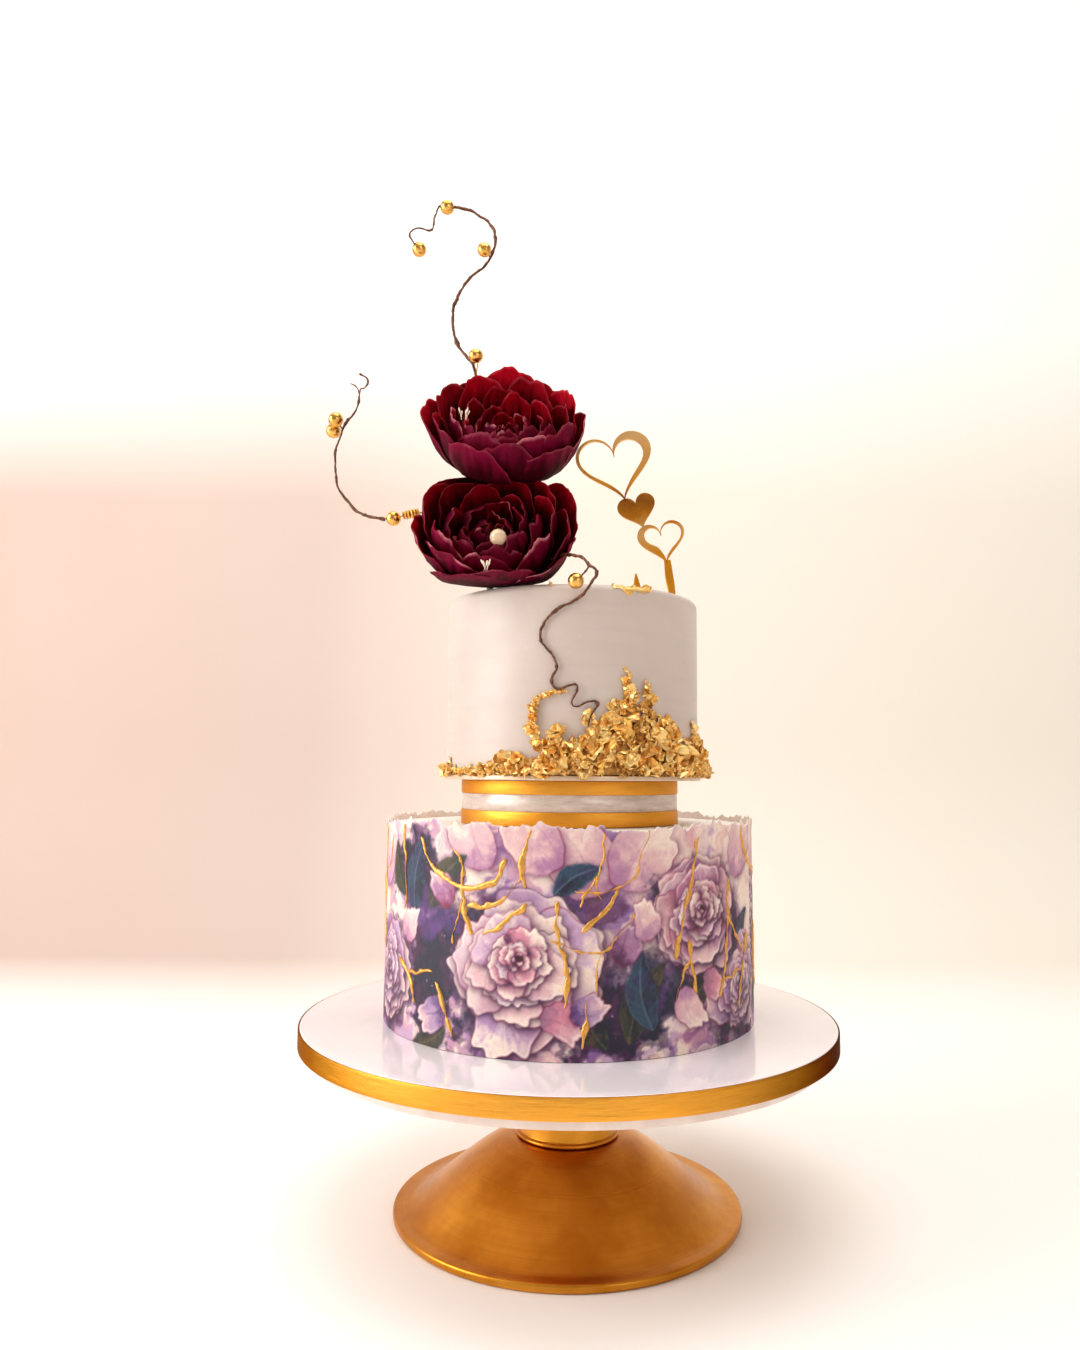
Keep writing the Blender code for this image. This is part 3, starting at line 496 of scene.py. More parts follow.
    def petal(self, cx, cy, ang, L, W, cols, line=WINE, ruffle=0.09, shadow=0.6, rim=0.75, seed=0, tip=0.0):
        """One petal: cols run from its deep throat, through its middle, to its pale rim; ang is outward."""
        m = max(L, W) * 1.5 + 4
        w = self.win(cx - m, cx + m, cy - m, cy + m)
        if not w:
            return
        r = np.random.default_rng(seed + 5)
        p = r.random(6) * TAU
        X, Y = self.X[w], self.Y[w]
        dx, dy = X - cx, Y - cy
        lx, ly = dx * math.cos(ang) + dy * math.sin(ang), -dx * math.sin(ang) + dy * math.cos(ang)
        ly = ly + 0.12 * W * np.sin(lx / L * 2.2 + p[5])
        q, t = lx / L, ly / W
        phi, rho = np.arctan2(t, q), np.hypot(q, t)
        out = np.clip(np.cos(phi), 0, 1)
        ruf = (0.9 * np.sin(3 * phi + p[0]) + 0.8 * np.sin(5 * phi + p[1]) + 0.7 * np.sin(9 * phi + p[2])
               + 0.5 * np.sin(15 * phi + p[3]) * out) * ruffle * (0.35 + 0.65 * out)
        shape = 1 - 0.16 * np.clip(-np.cos(phi), 0, 1) ** 2 + tip * np.exp(-(phi / 0.35) ** 2) + ruf
        d = (shape - rho) * min(L, W) * 1.05
        a = sst(-0.28, 0.32, d)
        low = np.clip(0.55 + 0.5 * (math.sin(ang - 0.9) * 0 - np.sin(np.arctan2(dy, dx) - 0.6)), 0.15, 1)
        self.lay(w, np.exp(-np.maximum(0, -d) / (0.9 + 0.05 * W)) * shadow * low * (1 - a), PLUM * 0.72)
        g = np.clip((q + 1) / 2, 0, 1)
        f = fbm(X / 5 + seed, Y / 5, seed % 30, 4, 0.6)
        streak = vnoise(phi * 7 + p[0], rho * 1.6 + p[1], seed) * 0.6 + 0.4 * vnoise(phi * 17 + p[2], rho * 2.4, seed + 2)
        k1 = sst(0.0, 0.55, g + 0.35 * (f - 0.5) + 0.22 * (streak - 0.5))
        k2 = sst(0.48, 0.98, g + 0.38 * (f - 0.5) + 0.34 * (streak - 0.5) + 0.16 * np.cos(phi * 2 + p[4]) - 0.05)
        col = cols[0] + (cols[1] - cols[0]) * k1[..., None]
        col = col + (cols[2] - col) * k2[..., None]
        side = sst(0.15, 0.95, t * (1 if p[4] > math.pi else -1))[..., None]
        col = col + (cols[0] * 0.55 + cols[1] * 0.45 - col) * side * 0.45
        fold = np.abs(t - 0.35 * math.sin(p[3]) - 0.22 * np.sin(q * 2.6 + p[2])) * W
        col = col + (cols[0] - col) * (np.exp(-(fold / 0.55) ** 2) * 0.45 * sst(0.95, 0.4, g))[..., None]
        self.lay(w, a, col)
        gate = sst(0.42, 0.62, vnoise(phi * 2.2 + p[5], 0.5 + seed, seed + 4))
        self.lay(w, a * np.exp(-((d - 1.15) / 0.65) ** 2) * rim * out ** 0.5, CREAM + (255 - CREAM) * 0.35)
        self.lay(w, np.exp(-((d - 0.12) / 0.30) ** 2) * (0.22 + 0.45 * gate), line)

    def bloom(self, cx, cy, R, seed, pal, lean=(0.0, 0.0), squash=0.9):
        r = np.random.default_rng(seed)
        radii, counts = (1.0, 0.82, 0.63, 0.46, 0.30, 0.17, 0.09), (7, 7, 6, 6, 5, 4, 3)
        self.patch(cx + 1, cy - 3, R * 1.10, R * 1.0, (INDIGO, PLUM), 0.85, 0.6)
        for k, f in enumerate(radii):
            a0, n = r.random() * TAU, counts[k]
            for j in r.permutation(n):
                deep, mid, pale = pal[int(r.integers(0, 2)) + (0 if k < 3 else 2)]
                a = a0 + TAU * (j + 0.6 * (r.random() - 0.5)) / n
                rho = R * f * (0.88 + 0.26 * r.random())
                at = rho * 0.58
                x = cx + at * math.cos(a) + lean[0] * (1 - f) * R
                y = cy + at * math.sin(a) * squash + lean[1] * (1 - f) * R
                L, W = rho * (0.42 + 0.12 * r.random()), rho * (0.50 + 0.24 * r.random())
                t1, t2 = r.random(), r.random()
                mid = mid + ((VIOLET if t1 < 0.3 else BLUSH) - mid) * 0.35 * t2
                pale = pale + ((LILAC if t1 < 0.35 else CREAM) - pale) * 0.5 * r.random()
                self.petal(x, y, math.atan2(math.sin(a) * squash, math.cos(a)) + 0.7 * (r.random() - 0.5), L, W,
                           (deep * (0.75 + 0.3 * r.random()), mid, pale), line=WINE if r.random() < 0.5 else PLUM * 0.8,
                           ruffle=0.05 + 0.07 * r.random(), shadow=0.85, rim=0.35 + 0.5 * r.random(), seed=seed * 31 + k * 11 + int(j))
        self.patch(cx + lean[0] * R, cy + lean[1] * R, R * 0.06, R * 0.05, (WINE * 0.5, PLUM * 0.5), 0.85, 0.3)

    def deepen(self, k=1.16, pivot=172.0):
        """Stretches the finished sheet's range a little about its middle tone."""
        self.C[:] = np.clip(pivot + (self.C - pivot) * k, 6, 252)

    def sample(self, u, v):
        """Colours at points in millimetres, each from the four nearest places, as linear light."""
        x = np.clip(u / self.px - 0.5, 0, self.C.shape[1] - 1.001)
        y = np.clip(v / self.px - 0.5, 0, self.C.shape[0] - 1.001)
        xi, yi = x.astype(int), y.astype(int)
        fx, fy = (x - xi)[..., None], (y - yi)[..., None]
        C = self.C
        c = (C[yi, xi] * (1 - fx) + C[yi, xi + 1] * fx) * (1 - fy) + (C[yi + 1, xi] * (1 - fx) + C[yi + 1, xi + 1] * fx) * fy
        c = np.clip(c / 255.0, 0, 1)
        return np.where(c <= 0.04045, c / 12.92, ((c + 0.055) / 1.055) ** 2.4)


ROSY = [(MAUVE * 0.8, ROSE, BLUSH), (WINE * 0.8 + 20, MAUVE, BLUSH), (PLUM, ROSE * 0.96, CREAM), (WINE * 0.8, BLUSH, CREAM)]
DUSK = [(VIOLET * 0.8, LILAC * 0.92, BLUSH), (PLUM, MAUVE, LILAC), (INDIGO * 1.2, MAUVE * 0.95, BLUSH), (PLUM * 0.9, LILAC, CREAM)]
PALE = [(MAUVE, BLUSH, CREAM), (MAUVE * 0.85, LILAC, CREAM), (PLUM, ROSE, CREAM), (WINE * 0.85, BLUSH, CREAM)]
GREENS, TEALS = (NAVY * 0.8, MOSS * 0.92, rgb(126, 126, 88), rgb(104, 84, 62)), (NAVY * 0.9, TEAL * 0.82, rgb(132, 152, 168), rgb(58, 52, 92))
SHEET = math.radians(184.0)
SHEET_MM = SHEET * T1_R0
HIGH = 122.0


def sheet_front():
    P = Print(SHEET_MM, HIGH, 11)
    P.wash()
    P.patch(139, 92, 28, 20, (INDIGO, PLUM), 1.0)
    P.patch(147, 44, 24, 36, (INDIGO, PLUM * 0.9), 1.0, 1.2)
    P.patch(150, 70, 16, 18, (VIOLET * 0.85, VIOLET), 0.7, 1.2)
    P.patch(252, 24, 36, 24, (INDIGO, PLUM), 1.0)
    P.patch(240, 78, 18, 12, (VIOLET * 0.8, PLUM), 0.7)
    P.patch(283, 34, 16, 20, (NAVY, VIOLET * 0.8), 0.8)
    P.patch(66, 18, 24, 15, (PLUM, VIOLET), 0.8)
    P.patch(20, 96, 22, 18, (VIOLET * 0.8, PLUM), 0.8)
    for args in ((236, 104, 1.9, 27, 19), (212, 112, 2.5, 22, 15), (270, 103, 0.7, 24, 17), (176, 111, 2.1, 20, 13),
                 (92, 100, 1.3, 22, 15), (348, 106, 1.4, 20, 14)):
        P.petal(args[0], args[1], args[2], args[3], args[4], (MAUVE, BLUSH, CREAM), line=WINE, ruffle=0.07, shadow=0.5, rim=0.6,
                seed=int(args[0]))
    for x, y, deg, L, W, c in ((262, 8, 62, 46, 9.5, GREENS), (276, 14, 98, 42, 9, TEALS), (250, 6, 112, 40, 8.5, GREENS),
                               (296, 18, 40, 36, 8, GREENS), (132, 70, 78, 44, 9.5, TEALS), (146, 74, 48, 40, 8.5, GREENS),
                               (122, 78, 116, 34, 8, GREENS), (74, 4, 70, 34, 8, TEALS), (56, 8, 122, 32, 8, GREENS),
                               (330, 92, 200, 34, 8, GREENS), (340, 40, 60, 36, 8, TEALS), (16, 88, 60, 34, 8, TEALS),
                               (30, 84, 100, 36, 8.5, GREENS), (222, 84, 30, 30, 7, TEALS), (160, 12, 205, 30, 7, GREENS)):
        P.leaf(x, y, deg, L, W, c)
    P.bloom(346, 28, 27, 61, DUSK, lean=(0.05, 0.10))
    P.bloom(38, 52, 29, 23, ROSY, lean=(0.06, 0.08))
    P.bloom(98, 34, 30, 37, DUSK, lean=(-0.04, 0.10), squash=0.86)
    P.bloom(308, 72, 30, 41, ROSY, lean=(0.04, 0.12), squash=0.88)
    P.bloom(202, 46, 39, 53, PALE, lean=(0.05, 0.14), squash=0.84)
    for x, y, a, L, W, c in ((226, 20, -0.6, 13, 9, ROSY[0]), (240, 26, 0.2, 11, 8, DUSK[0]), (150, 18, 3.6, 13, 9, DUSK[0]),
                             (262, 58, 0.9, 13, 8, DUSK[1]), (272, 70, 1.6, 12, 8, PALE[0]), (156, 84, 2.2, 12, 8, ROSY[1]),
                             (128, 62, 1.2, 11, 8, PALE[0]), (70, 74, 1.8, 12, 8, DUSK[0]), (300, 24, -0.9, 14, 9, PALE[0]),
                             (318, 34, -0.4, 11, 8, ROSY[0])):
        P.petal(x, y, a, L, W, c, ruffle=0.10, seed=int(x * 2))
    P.deepen()
    return P


def sheet_back():
    P = Print(SHEET_MM, HIGH, 29)
    P.wash()
    for a in ((100, 96, 26, 17, (INDIGO, PLUM)), (40, 14, 24, 14, (PLUM, VIOLET)), (205, 88, 24, 20, (NAVY, VIOLET * 0.8)),
              (285, 20, 28, 17, (INDIGO, PLUM)), (345, 92, 20, 18, (PLUM, VIOLET * 0.8)), (150, 12, 22, 12, (INDIGO, PLUM))):
        P.patch(*a, 0.88)
    for args in ((22, 104, 2.1, 22, 15), (62, 110, 1.2, 22, 15), (160, 108, 1.8, 24, 16), (252, 106, 1.1, 23, 16),
                 (300, 110, 2.0, 22, 14)):
        P.petal(args[0], args[1], args[2], args[3], args[4], (MAUVE, BLUSH, CREAM), line=WINE, ruffle=0.07, shadow=0.5, rim=0.6,
                seed=int(args[0]) + 3)
    for x, y, deg, L, W, c in ((92, 78, 60, 40, 9, GREENS), (108, 80, 100, 38, 9, TEALS), (34, 4, 110, 36, 8, GREENS),
                               (48, 4, 60, 36, 8, TEALS), (200, 72, 70, 42, 9, GREENS), (216, 76, 35, 38, 8, TEALS),
                               (190, 74, 120, 36, 8, TEALS), (282, 4, 55, 38, 9, GREENS), (294, 6, 95, 36, 8, TEALS),
                               (340, 80, 80, 38, 8, GREENS), (352, 78, 45, 34, 8, TEALS), (150, 6, 160, 34, 8, GREENS),
                               (134, 50, 95, 32, 7, GREENS)):
        P.leaf(x, y, deg, L, W, c)
    P.bloom(352, 40, 27, 71, ROSY, lean=(-0.04, 0.1))
    P.bloom(172, 34, 28, 73, DUSK, lean=(0.05, 0.1))
    P.bloom(74, 48, 37, 79, PALE, lean=(-0.05, 0.12), squash=0.86)
    P.bloom(138, 84, 24, 83, ROSY, lean=(0.02, 0.1))
    P.bloom(248, 56, 39, 89, PALE, lean=(0.05, 0.12), squash=0.85)
    P.bloom(310, 66, 26, 97, DUSK, lean=(0.03, 0.1))
    P.bloom(10, 60, 27, 101, DUSK, lean=(0.03, 0.1))
    for x, y, a, L, W, c in ((116, 22, -0.6, 13, 9, ROSY[0]), (206, 30, 0.2, 12, 8, DUSK[0]), (40, 84, 2.4, 12, 8, DUSK[0]),
                             (222, 100, 2.0, 12, 8, ROSY[1]), (288, 38, 3.6, 12, 8, PALE[0]), (330, 14, -0.9, 14, 9, ROSY[0])):
        P.petal(x, y, a, L, W, c, ruffle=0.10, seed=int(x * 2) + 1)
    P.deepen()
    return P


# --------------------------------------------------------- the paper itself
FRONT0 = math.radians(-116.0)      # angles run from the front towards +X; sheet 0 ends at +68 degrees
LAP = math.radians(4.0)
FOLDS = [(-84, 0.9, 1.5, 1.4), (-79, -0.7, 1.9, 1.0), (-73, 0.85, 1.4, -1.2), (-66, 0.5, 1.8, 1.6), (-49, 0.45, 2.2, 3.0),
         (57, 0.4, 1.9, -1.5), (63, 0.5, 1.5, 1.0), (74, 0.6, 1.6, 1.2), (81, 0.6, 1.5, -1.0), (110, 0.5, 2.2, 2.0), (137, -0.45, 2.4, 2.5),
         (165, 0.6, 1.9, -2.0), (188, 0.5, 2.0, 1.4), (214, -0.5, 2.2, 2.2), (233, 0.6, 1.8, -1.2), (-100, 0.5, 2.2, 1.0), (18, 0.18, 2.5, 2.0)]


def radius_at(z):
    return T1_R0 + (T1_R1 - T1_R0) * (z - WRAP_Z0) / (T1_TOP - WRAP_Z0)


def relief(a, z):
    """How far the paper stands off the tier's side (mm) at angle a and height z: soft waves and long creases."""
    u = a * T1_R0
    h = 0.34 * (fbm(u / 30, z / 42, 3, 3) - 0.5) + 0.12 * (fbm(u / 7, z / 16, 5, 3) - 0.5)
    one = TAU * T1_R0
    for deg, amp, wid, run in FOLDS:
        c = math.radians(deg) * T1_R0 + run * 1.4 * np.sin((z - 115) / 38 + deg) + 0.8 * (vnoise(z / 14 + deg, z * 0, 2) - 0.5)
        e = ((u - c + one / 2) % one - one / 2) / wid
        fade = sst(250, 150, z) * 0.35 + 0.65 * sst(120, 215, z)
        h = h + amp * 0.6 * np.exp(-e * e) * fade * (0.7 + 0.6 * vnoise(z / 22 + deg, z * 0 + deg, 4))
    flare = sst(T1_TOP - 5, T1_TOP + 5, z)
    return np.clip(h, -0.10, 1.6) + flare * (0.55 + 0.9 * (fbm(u / 9, 0 * z, 6, 3) - 0.35))


def rim_at(a):
    """The torn upper edge: height above the tier's top, with ragged small peaks and one or two notches."""
    u = a * T1_R0
    big, mid, fine = fbm(u / 17, u * 0 + 2, 1, 2), fbm(u / 5.5, u * 0, 2, 3, 0.6), fbm(u / 1.7, u * 0 + 7, 4, 3, 0.65)
    t = 3.3 + 3.0 * (big - 0.5) + 3.2 * (mid ** 1.5 - 0.38) + 1.1 * (fine - 0.5)
    return T1_TOP + np.clip(t, 0.7, 6.4)


def paper(name, a0, P, out, nu=548, nv=172):
    """One sheet as a thin closed skin, its print held as a colour at each point; returns the object."""
    ang = a0 + SHEET * np.linspace(0, 1, nu)
    top = rim_at(ang)
    A = np.repeat(ang[:, None], nv, 1)
    k = np.linspace(0, 1, nv)[None, :]
    Z = WRAP_Z0 + (top[:, None] - WRAP_Z0) * k
    R = radius_at(Z) + relief(A, Z) + out * (sst(a0 + LAP * 1.6, a0 + LAP, A) + sst(a0 + SHEET - LAP * 1.3, a0 + SHEET - LAP, A))
    thick = 0.45
    inner_rows = [1.0, 0.985, 0.95, 0.80, 0.45, 0.0]
    Zi = WRAP_Z0 + (top[:, None] - WRAP_Z0) * np.array(inner_rows)[None, :]
    Ai = np.repeat(ang[:, None], len(inner_rows), 1)
    lap = sst(a0 + LAP * 1.6, a0 + LAP, Ai) + sst(a0 + SHEET - LAP * 1.3, a0 + SHEET - LAP, Ai)
    Ri = radius_at(Zi) + relief(Ai, Zi) + out * lap - thick
    rough = 0.25 * (fbm(ang * T1_R0 / 1.1, ang * 0, 7, 2) - 0.5)
    Z[:, -1] -= 0.10
    Zi[:, 0] += rough
    AA, ZZ, RR = np.concatenate([A, Ai], 1), np.concatenate([Z, Zi], 1), np.concatenate([R, Ri], 1)
    V = np.stack([RR * np.sin(AA), -RR * np.cos(AA), ZZ], -1) * MM
    n = V.shape[1]
    faces = grid_faces(nu, n)
    for i in range(nu - 1):
        faces.append((i * n + n - 1, (i + 1) * n + n - 1, (i + 1) * n, i * n))
    for i, flip in ((0, False), (nu - 1, True)):
        ring = [i * n + j for j in range(n)]
        faces.append(tuple(ring if flip else ring[::-1]))
    ob = make(name, V.reshape(-1, 3), faces, m_paper, loc=AT1)
    col = np.ones((nu, n, 4))
    U = (AA - a0) * T1_R0
    col[..., :3] = P.sample(U, ZZ - WRAP_Z0)
    col[:, nv:, :3] = np.array(lin(247, 240, 232))
    edge = np.exp(-((top[:, None] - Z) / 0.5))[..., None]
    col[:, :nv, :3] += (np.array(lin(244, 232, 226)) - col[:, :nv, :3]) * np.clip(edge * 0.8, 0, 1)
    at = ob.data.color_attributes.new("print", "FLOAT_COLOR", "POINT")
    at.data.foreach_set("color", col.reshape(-1))
    ob.data.set_sharp_from_angle(angle=math.radians(60))
    return ob


m_paper = Mat("printed_paper", Roughness=0.5, Subsurface_Weight=0.03, Subsurface_Scale=0.001)
v = m_paper.coords()
pc = m_paper.n("VertexColor", layer_name="print").outputs[0]
grain = m_paper.noise(v, 1500.0, 4.0, 0.65)
pool = m_paper.noise(v, 420.0, 5.0, 0.65)
pc = m_paper.mix(m_paper.val(grain, 0.0, 0.28, 0.35, 0.75), pc, (0.60, 0.48, 0.52), "MULTIPLY")
pc = m_paper.mix(m_paper.val(pool, 0.0, 0.30, 0.45, 0.75), pc, (0.62, 0.45, 0.60), "MULTIPLY")
m_paper.link(pc, "Base_Color")
m_paper.link(m_paper.val(grain, 0.42, 0.62), "Roughness")
m_paper.link(m_paper.bump(grain, 0.14, 0.0002), "Normal")

put(paper("wrap_front", FRONT0, sheet_front(), 0.5), "printed_paper", "paper_wrap")
put(paper("wrap_back", FRONT0 + SHEET - LAP, sheet_back(), 0.0), "printed_paper", "paper_wrap")

# ------------------------------------------------ raised gold veins on the paper
m_vein = Mat("gold_paint", Metallic=0.75, Roughness=0.34)
v = m_vein.coords()
m_vein.link(m_vein.mix(m_vein.val(m_vein.noise(v, 380.0, 5.0, 0.65), 0, 1), (0.56, 0.25, 0.045), (0.88, 0.48, 0.12)), "Base_Color")
m_vein.link(m_vein.bump(m_vein.noise(v, 700.0, 4.0, 0.6), 0.35, 0.0004), "Normal")


def smooth_path(pts, step=0.8):
    """A Catmull-Rom line through the points, read every step millimetres."""
    pts = [np.array(p, float) for p in pts]
    pts = [2 * pts[0] - pts[1]] + pts + [2 * pts[-1] - pts[-2]]
    out = []
    for a, b, c, d in zip(pts, pts[1:], pts[2:], pts[3:]):
        n = max(2, int(np.linalg.norm(c - b) / step))
        for i in range(n):
            t = i / n
            out.append(0.5 * (2 * b + (c - a) * t + (2 * a - 5 * b + 4 * c - d) * t * t + (3 * b - 3 * c + d - a) * t ** 3))
    out.append(pts[-2])
    return np.array(out)


def vein_mesh(paths):
    sec = np.array([(-1.0, -0.35), (-0.92, 0.25), (-0.55, 0.78), (0.0, 1.0), (0.55, 0.78), (0.92, 0.25), (1.0, -0.35)])
    m, Q, B, faces, base = len(sec), [], [], [], 0
    for line, wide in paths:
        n = len(line)
        if n < 5:
            continue
        tan = np.gradient(line, axis=0)
        tan /= np.maximum(1e-6, np.linalg.norm(tan, axis=1))[:, None]
        nor = np.stack([-tan[:, 1], tan[:, 0]], -1)
        Q.append((line[:, None, :] + nor[:, None, :] * sec[None, :, :1] * wide[:, None, None] / 2).reshape(-1, 2))
        B.append((np.minimum(0.85, 0.30 + 0.22 * wide)[:, None] * sec[None, :, 1]).reshape(-1))
        for i in range(n - 1):
            for j in range(m):
                c, d = base + i * m + j, base + i * m + (j + 1) % m
                faces.append((c, d, d + m, c + m))
        faces.append(tuple(base + j for j in range(m))[::-1])
        faces.append(tuple(base + (n - 1) * m + j for j in range(m)))
        base += n * m
    Q, B = np.concatenate(Q), np.concatenate(B)
    a = Q[:, 0] / T1_R0
    z = np.minimum(np.maximum(Q[:, 1], WRAP_Z0 + 0.3), rim_at(a) - 0.05)
    r = radius_at(z) + relief(a, z) + 0.08 + B + lapped(a)
    return make("gold_veins", np.stack([r * np.sin(a), -r * np.cos(a), z], -1) * MM, faces, m_vein, loc=AT1)


def lapped(a):
    """The front sheet lies outside the back one where they lap."""
    a = (a - FRONT0 + 0.5) % TAU + FRONT0 - 0.5
    near = np.maximum(1 - np.abs(a - FRONT0 - 0.5 * LAP) / (1.2 * LAP), 1 - np.abs(a - FRONT0 - SHEET + 0.5 * LAP) / (1.2 * LAP))
    return 0.5 * np.clip(1.6 * near, 0, 1)


vr = np.random.default_rng(77)


def wander(u, z, head, length, w0, curl, branch=0.5):
    """One vein that wanders from (u, z) in millimetres, and now and then throws off a short branch."""
    pts, out, d = [(u, z)], [], 0.0
    h, turn = head, curl
    while d < length:
        turn += (vr.random() - 0.5) * 0.30
        turn = max(-0.22, min(0.22, turn * 0.85))
        h += turn + (vr.random() - 0.5) * 0.50
        u, z = u + 6 * math.cos(h), z + 6 * math.sin(h)
        d += 6
        if z < WRAP_Z0 + 3 or z > T1_TOP + 2:
            break
        pts.append((u, z))
    if len(pts) < 3:
        return out
    line = smooth_path(pts)
    s = np.linspace(0, 1, len(line))
    k = vr.random() * 50
    line = line + 0.85 * (np.stack([fbm(s * len(line) / 7 + k, s * 0, 3, 3), fbm(s * len(line) / 7 + k, s * 0 + 5, 4, 3)], -1) - 0.5) * 2
    wid = w0 * 0.80 * (0.10 + 1.7 * fbm(s * len(line) / 9 + k, s * 0 + 9, 5, 3)) * np.clip(np.minimum(s, 1 - s) * len(line) / 5 + 0.25, 0, 1) ** 0.6
    out.append((line, wid))
    if branch and vr.random() < 0.28 and len(pts) > 4:
        j = int(len(pts) * (0.35 + 0.3 * vr.random()))
        hd = math.atan2(pts[j + 1][1] - pts[j][1], pts[j + 1][0] - pts[j][0]) + vr.choice([-0.8, 0.8])
        out += wander(pts[j][0], pts[j][1], hd, 14 + 16 * vr.random(), w0 * 0.8, 0.1, 0)
    return out


D = math.radians
front_veins = [  # degrees from the front, height, heading, length, width, curl
    (-76, 231, -1.60, 70, 2.3, 0.02), (-66, 226, -1.45, 60, 2.2, -0.03), (-56, 233, -1.65, 44, 2.5, 0.03), (-47, 228, -1.45, 78, 2.6, -0.02),
    (-58, 158, -0.6, 30, 2.4, -0.10), (-34, 222, -0.75, 46, 3.4, -0.03), (-29, 192, -0.25, 40, 3.1, 0.05), (-24, 178, 0.35, 26, 2.6, -0.12),
    (-11, 233, -1.85, 30, 3.0, 0.04), (-4, 196, -1.55, 52, 3.0, -0.03), (9, 232, -1.70, 34, 2.8, 0.02), (17, 190, -2.15, 52, 3.1, 0.03),
    (21, 233, -1.75, 60, 2.9, 0.03), (38, 229, -1.85, 64, 2.7, -0.02), (34, 176, -1.50, 30, 2.4, 0.06), (51, 206, -1.50, 66, 2.3, 0.02),
    (60, 233, -1.62, 50, 2.2, 0.02), (-84, 200, -1.55, 60, 2.0, 0.0), (-40, 150, -1.1, 34, 2.6, 0.05), (4, 146, -1.75, 26, 2.7, 0.08),
    (63, 172, -1.5, 40, 2.0, 0.0)]
veins = []
for deg, z, hd, ln, wd, cu in front_veins:
    veins += wander(D(deg) * T1_R0, z, hd, ln, wd, cu)
for i in range(30):
    deg = 72 + 202 * (i + 0.6 * vr.random()) / 30
    veins += wander(D(deg) * T1_R0, 165 + 66 * vr.random(), -1.57 + 0.9 * (vr.random() - 0.5), 30 + 40 * vr.random(), 2.2 + 0.9 * vr.random(), 0.1 * (vr.random() - 0.5))
put(vein_mesh(veins), "leaf_gold")

# ----------------------------------------------------------- silk peonies
m_silk = Mat("crimson_silk", Roughness=0.66, Specular_IOR_Level=0.07, Subsurface_Weight=0.04, Subsurface_Scale=0.0015)
v = m_silk.coords()
pc = m_silk.n("VertexColor", layer_name="dye").outputs[0]
blot = m_silk.noise(v, 160.0, 4.0, 0.6)
weave = m_silk.noise(v, 2600.0, 2.0, 0.5)
run = m_silk.n("Attribute", attribute_name="grain").outputs["Vector"]
ribs = m_silk.noise(run, 1.0, 5.0, 0.6, 0.3)
pc = m_silk.mix(m_silk.val(blot, 0.0, 0.6, 0.4, 0.7), pc, (0.50, 0.36, 0.46), "MULTIPLY")
pc = m_silk.mix(m_silk.val(ribs, 0.0, 0.55, 0.45, 0.72), pc, (0.48, 0.34, 0.42), "MULTIPLY")
m_silk.link(pc, "Base_Color")
m_silk.link(m_silk.bump(weave, 0.12, 0.0001, m_silk.bump(ribs, 0.55, 0.0010)), "Normal")
m_stamen = Mat("stamen_cream", Roughness=0.5)
m_stamen.link(m_stamen.ramp(m_stamen.noise(m_stamen.coords(), 900.0, 3.0), (0.3, lin(246, 226, 200)), (0.7, lin(255, 243, 226))), "Base_Color")

# Petal colour runs from throat to rim: the dye deepens towards the base, and the near-black throat colours are painted
# shade deep in the flower's bowl.
INSIDE = [np.array(lin(18, 0, 1)), np.array(lin(90, 0, 5)), np.array(lin(188, 2, 32))]
OUTSIDE = [np.array(lin(32, 0, 3)), np.array(lin(64, 0, 17)), np.array(lin(118, 2, 46))]
PINK = np.array(lin(226, 140, 150))


